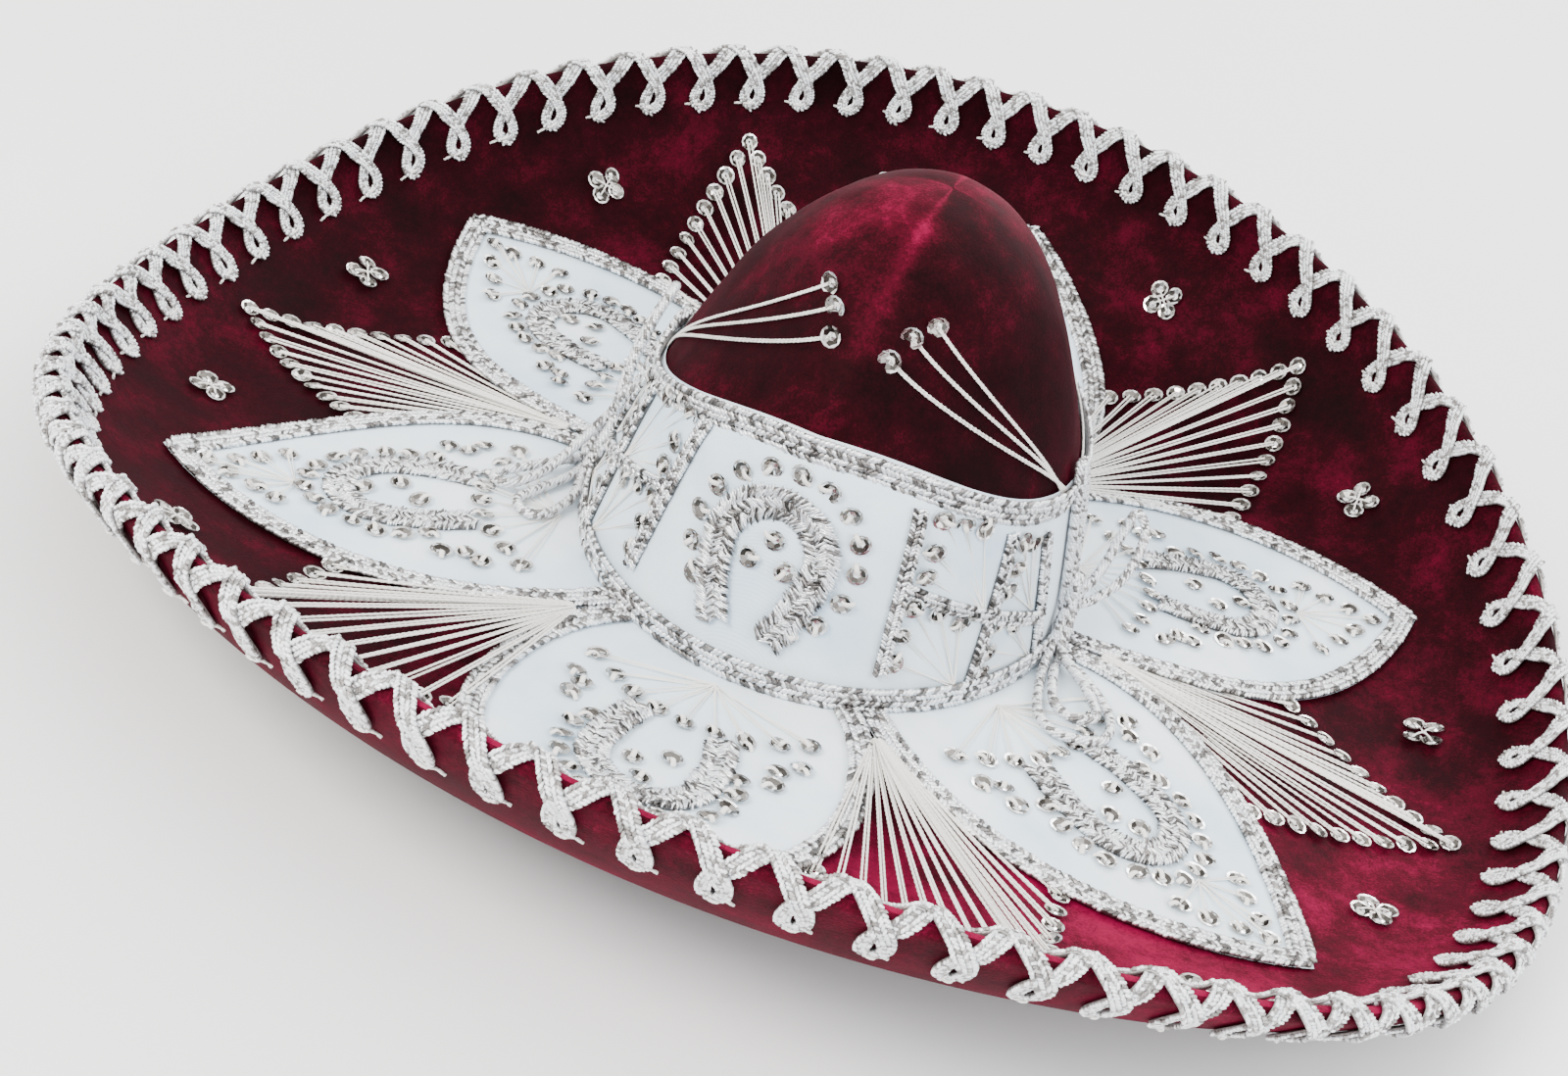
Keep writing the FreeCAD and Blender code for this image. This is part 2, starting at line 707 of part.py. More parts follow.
def add_bows(low):
    """A bundle of silver cords over each seam of the band, tied in a knot with loops on the brim."""
    cord = size("cord_width")
    for name, seam, forward in (("left", LEFT, 1), ("right", RIGHT, -1)):
        lift = low + size("braid") + cord / 2 + size("gap")
        bundle = []
        for side in (-1, 0, 1):
            degrees = seam + side * math.degrees(cord * 1.1 / size("crown_half_depth"))
            bundle.append(rod(crown_point(degrees, 4, lift), crown_point(degrees, band_top(seam) + 2, lift), cord))
        add(f"seam_cords_{name}", Part.makeCompound(bundle))
        knot_place = frame_at(crown_point, seam, 24, lift + 2.4 * cord)
        pieces = [Part.makeSphere(1.3 * cord)]
        for index, (turn, length) in enumerate(((-55, 62), (-42, 54), (100, 36))):
            loop = hairpin(length, 2 * cord, cord)
            loop.Placement = FreeCAD.Placement(Vector(0, 0, 1.15 * cord * index), spread(forward * turn))
            pieces.append(loop)
        add(f"bow_{name}", copies(Part.makeCompound(pieces), [knot_place]))


def spread(turn):
    """Turns a loop in its own plane, then tips that plane out from the crown on to the brim."""
    tip = FreeCAD.Rotation(Vector(1, 0, 0), -60)
    return tip.multiply(FreeCAD.Rotation(Vector(0, 0, 1), turn))


def hairpin(length, half, width):
    """A loop of cord that hangs from the origin: two straight legs and a half-round end."""
    top = -half
    corner = half - length
    down = Part.LineSegment(Vector(-half, top, 0), Vector(-half, corner, 0))
    bend = Part.Arc(Vector(-half, corner, 0), Vector(0, -length, 0), Vector(half, corner, 0))
    back = Part.LineSegment(Vector(half, corner, 0), Vector(half, top, 0))
    path = Part.Wire([edge.toShape() for edge in (down, bend, back)])
    section = Part.Wire([Part.makeCircle(width / 2, Vector(-half, top, 0), Vector(0, 1, 0))])
    return path.makePipeShell([section], True, False)


def rim_angle(turn):
    """The angle of a place given as a share of the rim's loops, which are not evenly spaced."""
    angle = 2 * math.pi * turn
    crowding = -size("loop_crowding_front") * math.cos(angle) + size("loop_crowding_right") * math.sin(angle)
    return 360 * turn + crowding + size("loop_crowding_ends") * math.sin(2 * angle)


def add_rim_braid():
    """The silver braid laced over the rim, in loops above and below, each tacked with a stitch."""
    reach, radius, thick = size("loop_length"), size("loop_radius"), size("loop_braid")
    half = reach / 2
    sag = 1.4
    top, bottom = sag, -(2 * size("velvet") + size("board") + 3 * size("gap"))
    wall = half + sag
    outline = [(-half, top), (wall, top), (wall, bottom), (-half, bottom)]
    outline += [(-half, bottom - thick), (wall + thick, bottom - thick), (wall + thick, top + thick)]
    outline.append((-half, top + thick))
    points = [Vector(-2 * radius, y, z) for y, z in outline]
    channel = Part.Face(Part.makePolygon(points + points[:1])).extrude(Vector(4 * radius, 0, 0))
    end = -half + radius
    neck = half - 7
    drop = Vector(0, 0, -4 * reach)
    up = Vector(0, 0, 8 * reach)

    def flat_prism(flat):
        points = [Vector(x, y, 0) + drop for x, y in flat]
        return Part.Face(Part.makePolygon(points + points[:1])).extrude(up)

    def disc(size_of):
        return Part.makeCylinder(size_of, up.z, Vector(0, end, drop.z))

    outer = wall + thick + 1
    body = flat_prism([(-radius, end), (radius, end), (2.5, neck), (7.5, outer), (-7.5, outer), (-2.5, neck)])
    eye = flat_prism([(-radius / 2.5, end), (radius / 2.5, end), (0, neck - 3)]).fuse(disc(radius / 2.5))
    fork = flat_prism([(0, neck + 3), (3.2, outer), (-3.2, outer)])
    loop = channel.common(body.fuse(disc(radius))).cut(eye).cut(fork)
    stitch = rod(Vector(-radius * 1.3, end - 2, top + thick + 0.7), Vector(0.5, end - 1, top + thick + 0.7), 0.9)
    share = 1 - half / size("brim_length")
    count = int(size("loop_count"))
    frames = [frame_at(brim_point, rim_angle((i - 0.06) / count), share, 0) for i in range(count)]
    add("rim_braid", copies(loop, frames))
    add("rim_stitches", copies(stitch, frames))


# Build, check and write --------------------------------------------------------------------------

base_plane = add_brim()
lining_inside = add_crown(base_plane)
add_sweatband(lining_inside, base_plane)
band_cloth = add_hatband()
add_band_embroidery(band_cloth)
petal_cloth = add_petals()
add_sequins(petal_cloth, band_cloth)
add_threads(petal_cloth)
add_bows(band_cloth)
add_rim_braid()
doc.recompute()

for item in doc.Objects:
    if "Invalid" in item.State or "Error" in item.State:
        raise RuntimeError(f"{item.Label} did not compute: {item.State}")
for item in subparts:
    if item.Shape.isNull() or not item.Shape.isValid() or not item.Shape.Solids:
        raise RuntimeError(f"{item.Label} has no valid solid")

os.makedirs("parts", exist_ok=True)
for item in subparts:
    item.Shape.exportStep(f"parts/{item.Label}.step")
    print(item.Label, len(item.Shape.Solids), round(item.Shape.Volume))
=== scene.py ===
"""The looks of the sombrero: velvet, silver braid, yarn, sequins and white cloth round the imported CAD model.

Shapes are in millimetres from the middle of the crown's base plane, as in the CAD model. A place on the brim
is an angle round the crown and a share of the brim's sloping length, and lift is the height over the velvet.
build() turns them into metres and moves them to the crown's base, which the CAD model's sweatband gives.
"""

import math

import bpy
import numpy as np
from mathutils import Matrix, Vector


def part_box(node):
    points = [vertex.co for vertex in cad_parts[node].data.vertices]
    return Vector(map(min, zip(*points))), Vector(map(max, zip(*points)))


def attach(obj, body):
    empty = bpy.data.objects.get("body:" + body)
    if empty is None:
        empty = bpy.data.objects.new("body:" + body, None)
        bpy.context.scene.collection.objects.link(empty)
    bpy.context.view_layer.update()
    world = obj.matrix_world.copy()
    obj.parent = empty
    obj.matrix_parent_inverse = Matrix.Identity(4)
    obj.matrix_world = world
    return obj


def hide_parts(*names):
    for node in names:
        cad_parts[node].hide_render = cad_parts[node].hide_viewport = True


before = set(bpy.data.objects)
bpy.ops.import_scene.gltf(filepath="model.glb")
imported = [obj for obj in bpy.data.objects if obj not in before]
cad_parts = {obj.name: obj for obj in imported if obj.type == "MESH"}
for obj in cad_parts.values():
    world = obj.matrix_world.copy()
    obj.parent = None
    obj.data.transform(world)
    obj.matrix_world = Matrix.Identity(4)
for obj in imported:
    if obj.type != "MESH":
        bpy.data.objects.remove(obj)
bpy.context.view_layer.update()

MM = 0.001
SEED = 7

# Brim and crown, as in the CAD model
HALF_WIDTH, HALF_DEPTH = 91.0, 111.0
BRIM_LENGTH, EXTRA_FRONT, EXTRA_LEFT = 205.6, 4.4, 1.2
EAR_SLOPES = (5.5, -9.0, 1.2, 59.3)
FRONT_SLOPES = (5.5, 8.1, 41.5, 88.1)
BACK_LEAN, LEFT_LEAN, CORNER_LEAN = 17.8, -4.8, -1.7
CROWN_HEIGHT, TAPER, ROUNDING, CROWN_LEAN = 153.5, 0.331, 3.84, 3.1
DENT, DENT_START, DENT_POWER = 0.12, 0.4, 1.3
BAND_HEIGHT, BAND_LEFT, BAND_FRONT = 77.3, 3.1, 11.3
BRIM_THICKNESS = 6.0
RIM_HALF = BRIM_THICKNESS / 2

# Layers inside the crown, and how far the lining's inner face lies inside the velvet's outer one
VELVET, SHELL, GAP, LINING = 1.2, 2.2, 0.4, 0.5
INSIDE = -(VELVET + SHELL + GAP + LINING)

# Places of the trim
PETALS = 6
PETAL_STEP = 360 / PETALS
PETAL_START, PETAL_JOINT, PETAL_TIP, PETAL_SWELL = 0.002, 0.042, 0.754, 1.55
FAN_TIP, FAN_SIDE, FAN_ROOT = 0.809, 0.47, 0.1
FLOWER_PLACE = 0.737
BRAID_WIDTH = 10.0
BRAID_INSET = 0.43 * BRAID_WIDTH
SEQUIN = 8.0
CORD_RADIUS, CORD_PITCH = 1.6, 1.25
PLIES, YARN_TURN = 2, 2.4
BRAID_BASE = ((-0.82, 0), (-0.78, 0.5), (0, 0.6), (0.78, 0.5), (0.82, 0), (0, -0.1))
FRONT, BACK, LEFT, RIGHT = -90, 90, 0, 180

# An H on the band, as angles from the seam beside it and heights: bars, and rows of sequins with their root
H_BARS = (((58.5, 72), (58, 16)), ((30.5, 62), (35, 9)), ((16.5, 56), (13, 10)), ((57, 46), (15, 24)))
H_CELLS = (
    ((35.5, 36), ((52, 70), (46, 68.5), (40, 66), (52.5, 59.5), (53, 51))),
    ((39, 9), ((54.5, 40), (48, 38), (41.5, 33.5), (55.5, 30), (56, 20))),
    ((18, 29), ((26, 58), (22, 56), (27, 49), (28.5, 41.5))),
    ((16, 9), ((29, 29.5), (24, 26), (31.5, 19.5), (32.5, 12))),
)

# Sequins of one dent of the crown, as angles from the seam beside it and heights
CROWN_SEQUINS = ((79, 114), (74, 121.5), (65.5, 125.5))

# Loops of the bows: places across from the seam towards the front, up the crown or (under 0) out on the brim,
# and lifts. The last loop of each bow stands up towards the back
LEFT_LOOPS = (
    ((2, 22, 6), (18, 6, 5), (38, -10, 4), (58, -20, 4), (66, -31, 4), (57, -42, 4), (40, -37, 4),
     (25, -22, 4.5), (9, -3, 6), (0, 20, 6)),
    ((1, 22, 8), (14, 4, 8), (33, -12, 6), (50, -21, 5.5), (54, -30, 5.5), (46, -34, 5.5),
     (32, -24, 6), (14, -7, 8), (-1, 20, 8)),
    ((-2, 22, 7), (-14, 27, 13), (-27, 38, 20), (-31, 45, 25), (-28, 39, 29),
     (-19, 26, 23), (-9, 19, 13), (0, 19, 7)),
)
RIGHT_LOOPS = (
    ((3, 22, 6), (16, 6, 5), (34, -8, 4), (56, -19, 4), (68, -25, 4), (74, -21, 4), (67, -13, 4),
     (48, -5, 4.5), (26, 7, 5), (0, 21, 6)),
    ((2, 22, 8), (13, 4, 8), (30, -13, 6), (48, -27, 5.5), (58, -34, 5.5), (62, -31, 5.5),
     (56, -24, 6), (36, -14, 8), (-1, 20, 8)),
    ((-2, 22, 7), (-9, 36, 13), (-19, 52, 18), (-28, 60, 22), (-34, 54, 26),
     (-26, 38, 22), (-12, 22, 13), (0, 19, 7)),
)

# The rim's lace: loops round the hat, the length of one, and half of its course: places along the rim and
# distances in from it, from the round end of a loop on the top to the round end of one underneath
RIM_LOOPS = 76
PITCH_LENGTH = 24.6
RIM_LACE = (
    (0, 22.7), (-3.0, 20.6), (-3.4, 16.8), (0, 10.4), (3.1, 6.4), (5.9, 3.3), (9.0, 1.2), (12.3, -0.5),
    (15.3, -2.4), (18.3, -4.3), (21.4, -6.3), (24.6, -8.6), (27.6, -14.4), (27.5, -20.3), (24.6, -23.4),
)

# Where the two braids cross on the rim and how far that place shifts, the shares of the course where one
# passes over, the braid's width there and in the loops, and how unevenly the loops are spread round the hat
RIM_CROSSING, CROSSING_SLIP = -0.5, -2.4
OVER_CROSSINGS = (3 / 28, 0.25, 11 / 28)
RIM_BRAID, LOOP_BRAID = 6.8, 4.8
LOOP_SPREAD = (-4.0, 2.5, 2.0)

# The velvet's tone: least on the brim, how far a painted highlight raises it, where that is, and base on the
# crown
NAP_LOW, HIGHLIGHT_RISE, HIGHLIGHT_TURN = 0.25, 0.58, 60
CROWN_NAP = 0.16

low_corner, high_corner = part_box("sweatband")
CROWN_BASE = (low_corner + high_corner) / 2
CROWN_BASE.z = low_corner.z + BRIM_THICKNESS * MM


# Camera, floor and light


def add_camera():
    """A camera above the hat's front left, rolled so that the brim's left end lies low in the picture."""
    turn, rise, tilt = (math.radians(angle) for angle in (11.461, 29.479, 17.521))
    distance, aside, raised = 953.5 * MM, -16.5 * MM, -1.3 * MM
    back = Vector((math.sin(turn) * math.cos(rise), -math.cos(turn) * math.cos(rise), math.sin(rise)))
    level = Vector((math.cos(turn), math.sin(turn), 0))
    upright = back.cross(level)
    right = math.cos(tilt) * level + math.sin(tilt) * upright
    up = -math.sin(tilt) * level + math.cos(tilt) * upright
    data = bpy.data.cameras.new("camera")
    data.lens = 57.8
    data.sensor_width = 36
    camera = bpy.data.objects.new("camera", data)
    place = CROWN_BASE + back * distance + level * aside + upright * raised
    camera.matrix_world = Matrix.Translation(place) @ Matrix((right, up, back)).transposed().to_4x4()
    bpy.context.scene.collection.objects.link(camera)
    bpy.context.scene.camera = camera


def add_light(name, place, aim, size, power, colour):
    """A square soft light that faces a point."""
    data = bpy.data.lights.new(name, "AREA")
    data.shape = "SQUARE"
    data.size = size
    data.energy = power
    data.color = colour
    light = bpy.data.objects.new(name, data)
    light.location = place
    light.rotation_euler = (Vector(aim) - Vector(place)).to_track_quat("-Z", "Y").to_euler()
    bpy.context.scene.collection.objects.link(light)


def add_studio():
    """A pale floor under even light from above, with a key light at the front left."""
    bpy.ops.mesh.primitive_plane_add(size=12, location=(0, 0, 0))
    floor = bpy.context.object
    floor.name = "floor"
    floor.data.materials.append(floor_material())
    world = bpy.data.worlds.new("studio")
    bpy.context.scene.world = world
    world.use_nodes = True
    world.node_tree.nodes["Background"].inputs["Color"].default_value = (1, 1, 1, 1)
    world.node_tree.nodes["Background"].inputs["Strength"].default_value = 2.1
    aim = (0, 0, 0.08)
    add_light("key", (-0.75, -1.25, 1.35), aim, 0.7, 52, (1, 0.95, 0.88))
    add_light("fill", (1.5, -0.9, 1.1), aim, 1.2, 28, (0.93, 0.96, 1))
    add_light("rim", (0.5, 1.5, 1.3), aim, 1.0, 30, (1, 1, 1))


# Materials


class Nodes:
    """A material's node tree, with short calls to add and link nodes."""

    slots = {}  # a slot name for each material, by the name that Blender gave it

    def __init__(self, name, slot=None):
        self.material = bpy.data.materials.new(name)
        self.material.use_nodes = True
        self.tree = self.material.node_tree
        self.shader = self.tree.nodes["Principled BSDF"]
        self.slots[self.material.name] = slot or name

    def add(self, kind, **values):
        """A node of a kind. Values name its properties, or its inputs with spaces as underscores."""
        node = self.tree.nodes.new("ShaderNode" + kind)
        for key, value in values.items():
            if hasattr(node, key):
                setattr(node, key, value)
            else:
                node.inputs[key.replace("_", " ")].default_value = value
        return node

    def link(self, source, target):
        self.tree.links.new(source, target)

    def tone(self):
        """The tone kept with the mesh's points."""
        return self.add("Attribute", attribute_name="tone").outputs["Fac"]

    def texture(self, kind, **values):
        """A texture's strength, read at object coordinates in metres."""
        node = self.add("Tex" + kind, **values)
        self.link(self.add("TexCoord").outputs["Object"], node.inputs["Vector"])
        return node.outputs["Distance" if kind == "Voronoi" else "Fac"]

    def noise(self, scale, detail=3.0, roughness=0.55):
        return self.texture("Noise", Scale=scale, Detail=detail, Roughness=roughness)

    def total(self, *parts, start=0.0):
        """The sum of a start and each part's source times its weight."""
        for source, weight in parts:
            node = self.add("Math", operation="MULTIPLY_ADD")
            self.link(source, node.inputs[0])
            node.inputs[1].default_value = weight
            if isinstance(start, float):
                node.inputs[2].default_value = start
            else:
                self.link(start, node.inputs[2])
            start = node.outputs["Value"]
        return start

    def colour(self, source, *stops):
        """Base colour that a source picks from a ramp of (position, colour) stops."""
        node = self.add("ValToRGB")
        while len(node.color_ramp.elements) < len(stops):
            node.color_ramp.elements.new(0.5)
        for element, (position, colour) in zip(node.color_ramp.elements, stops):
            element.position = position
            element.color = (*colour, 1)
        self.link(source, node.inputs["Fac"])
        self.link(node.outputs["Color"], self.shader.inputs["Base Color"])

    def finish(self, rough=None, bump=None, **values):
        """Adds roughness (source, low, high), bumps (source, strength, distance) and other sockets."""
        if rough:
            node = self.add("MapRange", To_Min=rough[1], To_Max=rough[2])
            self.link(rough[0], node.inputs["Value"])
            self.link(node.outputs["Result"], self.shader.inputs["Roughness"])
        if bump:
            node = self.add("Bump", Strength=bump[1], Distance=bump[2])
            self.link(bump[0], node.inputs["Height"])
            self.link(node.outputs["Normal"], self.shader.inputs["Normal"])
        for key, value in values.items():
            self.shader.inputs[key.replace("_", " ")].default_value = value
        return self.material


def floor_material():
    made = Nodes("floor")
    made.colour(made.noise(3), (0.3, (0.9, 0.9, 0.91)), (0.8, (0.94, 0.94, 0.94)))
    return made.finish(Roughness=0.9)


def velvet_material():
    """Crushed velvet: dark wine to crimson, following its tone, which holds painted highlight and shade, and
    crushed patches.
    """
    made = Nodes("velvet")
    blotch = made.noise(38, 5, 0.62)
    streak = made.noise(240, 5, 0.75)
    fibre = made.noise(1100, 3, 0.7)
    # The tone attribute carries painted highlight and shade from the brim and crown
    made.colour(
        made.total((made.tone(), 1), (blotch, 1.1), (streak, 0.6), (fibre, 0.7), start=-1.2),
        (0.0, (0.005, 0.0002, 0.0007)),
        (0.3, (0.0145, 0.0004, 0.002)),
        (0.6, (0.053, 0.001, 0.0078)),
        (1.0, (0.19, 0.0035, 0.034)),
    )
    sheen = {"Sheen_Weight": 0.07, "Sheen_Roughness": 0.35, "Sheen_Tint": (0.8, 0.02, 0.12, 1)}
    return made.finish((blotch, 0.55, 0.85), (fibre, 0.35, 0.0006), Specular_IOR_Level=0.04, **sheen)


def cloth_material():
    """Closely woven white cloth, tinted blue as painted cool shade, bluest in its darker random patches."""
    made = Nodes("white_cloth")
    mottle = made.noise(60, 4)
    # The blue in these stops is a painted tint of cool shade
    stops = (0.2, (0.52, 0.69, 0.84)), (0.5, (0.72, 0.84, 0.93)), (0.8, (0.85, 0.92, 0.96))
    made.colour(made.total((made.tone(), 0.5), (mottle, 0.5)), *stops)
    warp, weft = (made.texture("Wave", Scale=900.0, Distortion=1.0, bands_direction=way) for way in "XY")
    weave = made.total((warp, 1), (weft, 1), (mottle, 3))
    return made.finish((mottle, 0.75, 0.95), (weave, 0.25, 0.0003), Sheen_Weight=0.25, Sheen_Roughness=0.5)


def silver_material(name, shine, slot=None):
    """Plaited metallic thread, each stitch with its own tone; the dark tones are painted reflections of dark
    surroundings.
    """
    made = Nodes(name, slot)
    fleck = made.noise(1600, 2, 0.7)
    # The darkest colour, for stitches painted dark as reflections, is darker for shinier thread
    dark = 0.34 - 0.36 * shine
    made.colour(
        made.total((made.tone(), 0.75), (fleck, 0.35)),
        (0.2, (dark, 0.93 * dark, 0.9 * dark)),
        (0.42, (0.3 + dark, 0.28 + dark, 0.27 + dark)),
        (0.6, (0.72, 0.74, 0.77)),
        (0.85, (0.94, 0.95, 0.97)),
    )
    return made.finish((fleck, 0.22, 0.5), (fleck, 0.5, 0.0003), Metallic=shine)


def sequin_material():
    """Silvered plastic with fine scuffs; each facet's tone is a painted reflection."""
    made = Nodes("sequin")
    scuff = made.noise(900, 3)
    made.colour(
        made.total((made.tone(), 1), (scuff, 0.12)),
        (0.05, (0.04, 0.035, 0.03)),
        (0.4, (0.24, 0.22, 0.2)),
        (0.75, (0.7, 0.68, 0.66)),
        (1.0, (0.95, 0.95, 0.95)),
    )
    return made.finish((scuff, 0.08, 0.25), Metallic=0.95)


def yarn_material():
    """Off-white yarn with fine fibres."""
    made = Nodes("white_yarn")
    fibre = made.noise(1800, 3, 0.7)
    stops = (0.2, (0.6, 0.56, 0.5)), (0.5, (0.8, 0.78, 0.73)), (0.8, (0.9, 0.89, 0.86))
    made.colour(made.total((made.tone(), 0.5), (fibre, 0.5)), *stops)
    return made.finish((fibre, 0.7, 0.95), (fibre, 0.5, 0.0003), Sheen_Weight=0.4, Sheen_Roughness=0.5)


def lining_material():
    """Dark red woven lining with a slight gloss."""
    made = Nodes("lining")
    mottle = made.noise(80, 4)
    made.colour(mottle, (0.3, (0.1, 0.012, 0.025)), (0.7, (0.2, 0.025, 0.05)))
    threads = made.texture("Wave", Scale=700.0, Distortion=2.0)
    return made.finish((mottle, 0.4, 0.6), (threads, 0.3, 0.0002), Sheen_Weight=0.2)


def leather_material():
    """Brown leather with pebbled grain, darker where heads have rubbed it."""
    made = Nodes("sweatband_leather")
    worn = made.noise(45, 4)
    made.colour(worn, (0.3, (0.06, 0.03, 0.016)), (0.7, (0.15, 0.075, 0.04)))
    return made.finish((worn, 0.35, 0.6), (made.texture("Voronoi", Scale=900.0), 0.4, 0.0003))


def plain_material(name, dark, light, scale, roughness, metallic=0.0):
    """A mottled material for the stiff parts that the velvet hides."""
    made = Nodes(name)
    mottle = made.noise(scale, 5)
    made.colour(mottle, (0.3, dark), (0.7, light))
    return made.finish((mottle, roughness, roughness + 0.2), (mottle, 0.3, 0.0004), Metallic=metallic)


def finish_hidden_nodes():
    """Board, felt and wire for the CAD nodes that stay, under the velvet."""
    for node, *look in (
        ("brim_board", "board", (0.2, 0.16, 0.12), (0.42, 0.36, 0.28), 300, 0.75),
        ("crown_shell", "felt", (0.08, 0.05, 0.04), (0.16, 0.1, 0.08), 500, 0.8),
        ("rim_wire", "wire", (0.3, 0.3, 0.3), (0.55, 0.55, 0.56), 800, 0.3, 0.9),
    ):
        material = plain_material(*look)
        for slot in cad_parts[node].material_slots:
            slot.material = material


# Shape of the brim and crown, in millimetres


def through_four(values, share):
    """The cubic through four evenly spaced values, read at shares from 0 to 1."""
    return np.polyval(np.polyfit(np.linspace(0, 1, 4), values, 3), share)


def brim_length(degrees):
    """Sloping length of the brim from the crown to the rim."""
    angle = np.radians(degrees)
    return BRIM_LENGTH - EXTRA_FRONT * np.cos(2 * angle) + EXTRA_LEFT * np.cos(angle)


ROWS, COLUMNS = 720, 400


def brim_profiles():
    """Distance out, rise and slope of the brim on a fine grid of angles and shares."""
    angles = np.radians(np.linspace(0, 360, ROWS + 1))[:, None]
    share = np.linspace(0, 1, COLUMNS + 1)[None]
    flat = through_four(EAR_SLOPES, share)
    steep = through_four(FRONT_SLOPES, share)
    lean = BACK_LEAN * np.sin(angles) + LEFT_LEAN * np.cos(angles) + CORNER_LEAN * np.cos(4 * angles)
    slope = np.radians(flat + (steep - flat) * np.sin(angles) ** 2 + lean * share**1.5)
    step = brim_length(np.degrees(angles)) / (share.size - 1)
    middle = (slope[:, 1:] + slope[:, :-1]) / 2
    start = np.zeros((angles.size, 1))
    out = np.hstack([start, np.cumsum(np.cos(middle) * step, axis=1)])
    rise = np.hstack([start, np.cumsum(np.sin(middle) * step, axis=1)])
    return np.stack([out, rise, slope])


PROFILES = brim_profiles()


def brim(degrees, share, lift=0.0):
    """Points on the brim, lifted square to the section's slope. Shares over 1 run straight on."""
    degrees, share, lift = np.broadcast_arrays(*(np.asarray(v, float) for v in (degrees, share, lift)))
    within = np.clip(share, 0, 1)
    row, column = (degrees % 360) / 360 * ROWS, within * COLUMNS
    r, c = np.minimum(row.astype(int), ROWS - 1), np.minimum(column.astype(int), COLUMNS - 1)
    row, column = row - r, column - c
    near = PROFILES[:, r, c] * (1 - column) + PROFILES[:, r, c + 1] * column
    far = PROFILES[:, r + 1, c] * (1 - column) + PROFILES[:, r + 1, c + 1] * column
    out, rise, slope = near * (1 - row) + far * row
    beyond = (share - within) * brim_length(degrees)
    out = out + beyond * np.cos(slope) - lift * np.sin(slope)
    rise = rise + beyond * np.sin(slope) + lift * np.cos(slope)
    angle = np.radians(degrees)
    nx, ny = np.cos(angle) / HALF_WIDTH, np.sin(angle) / HALF_DEPTH
    out = out / np.hypot(nx, ny)
    x = HALF_WIDTH * np.cos(angle) + nx * out
    return np.stack([x, HALF_DEPTH * np.sin(angle) + ny * out, rise], axis=-1)


def crown(degrees, height, lift=0.0):
    """Points on the crown at heights above its base, lifted off its velvet."""
    degrees, height, lift = np.broadcast_arrays(*(np.asarray(v, float) for v in (degrees, height, lift)))
    angle = np.radians(degrees)
    share = np.maximum(height, 0) / (CROWN_HEIGHT + lift)
    radius = (1 - TAPER * share) * np.sqrt(np.maximum(0, 1 - share**ROUNDING))
    dent = np.clip((share - DENT_START) / (1 - DENT_START), 0, 1)
    radius = radius * (1 - DENT * np.abs(np.sin(2 * angle)) ** DENT_POWER * np.sin(np.pi * dent) ** 2)
    x = (HALF_WIDTH + lift) * radius * np.cos(angle) + CROWN_LEAN * share
    y = (HALF_DEPTH + lift) * radius * np.sin(angle)
    return np.stack([x, y, height], axis=-1)


def band_top(degrees):
    """Height of the hatband's top edge."""
    angle = np.radians(degrees)
    return BAND_HEIGHT + BAND_LEFT * np.cos(angle) - BAND_FRONT * np.cos(2 * angle)


def value_noise(points, size, seed):
    """Smooth noise from -1 to 1 at points, with bumps of a size."""
    lattice = np.random.default_rng(seed).uniform(-1, 1, (32, 32, 32))
    place = points / size
    cell = np.floor(place).astype(int)
    part = place - cell
    part = part * part * (3 - 2 * part)
    total = np.zeros(points.shape[:-1])
    for corner in np.ndindex(2, 2, 2):
        weight = np.prod(np.where(corner, part, 1 - part), axis=-1)
        index = (cell + corner) % 32
        total += weight * lattice[index[..., 0], index[..., 1], index[..., 2]]
    return total


# Meshes


class Heap:
    """Points and faces gathered for one piece, with a tone from 0 to 1 for each point."""

    def __init__(self):
        self.points, self.quads, self.triangles, self.tones = [], [], [], []
        self.count = 0

    def add(self, points, quads=None, triangles=None, tone=0.5):
        points = np.asarray(points, float).reshape(-1, 3)
        self.points.append(points)
        self.tones.append(np.broadcast_to(np.asarray(tone, float).ravel(), len(points)))
        for kept, faces in ((self.quads, quads), (self.triangles, triangles)):
            if faces is not None:
                kept.append(faces + self.count)
        self.count += len(points)


def build(name, heap, material, replaces=(), smooth=True):
    """Makes a piece from a heap of points in millimetres, and has it ride on the hat."""
    points = np.concatenate(heap.points) * MM + np.array(CROWN_BASE)
    groups = [np.concatenate(faces) for faces in (heap.quads, heap.triangles) if faces]
    corners = np.concatenate([faces.ravel() for faces in groups])
    sizes = np.concatenate([np.full(len(faces), faces.shape[1]) for faces in groups])
    mesh = bpy.data.meshes.new(name)
    mesh.vertices.add(len(points))
    mesh.vertices.foreach_set("co", points.astype(np.float32).ravel())
    mesh.loops.add(len(corners))
    mesh.loops.foreach_set("vertex_index", corners.astype(np.int32))
    mesh.polygons.add(len(sizes))
    mesh.polygons.foreach_set("loop_start", (np.cumsum(sizes) - sizes).astype(np.int32))
    mesh.update(calc_edges=True)
    mesh.polygons.foreach_set("use_smooth", np.full(len(sizes), smooth))
    tone = mesh.attributes.new("tone", "FLOAT", "POINT")
    tone.data.foreach_set("value", np.concatenate(heap.tones).astype(np.float32))
    mesh.materials.append(material)
    piece = bpy.data.objects.new(name, mesh)
    bpy.context.scene.collection.objects.link(piece)
    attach(piece, "root")
    if replaces:
        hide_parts(*replaces)
    return piece


def add_sheet(
    name, points, tone, material, node, closed=True, inward=False
):
    """A sheet of cloth over rows of points, which may close into a ring. Its faces' areas are read but not
    used.
    """
    faces = grid(*points.shape[:2], wrap_rows=closed)
    heap = Heap()
    heap.add(points, faces if inward else faces[:, ::-1], tone=tone)
    piece = build(name, heap, material, [node])
    areas = np.empty(len(piece.data.polygons))
    piece.data.polygons.foreach_get("area", areas)


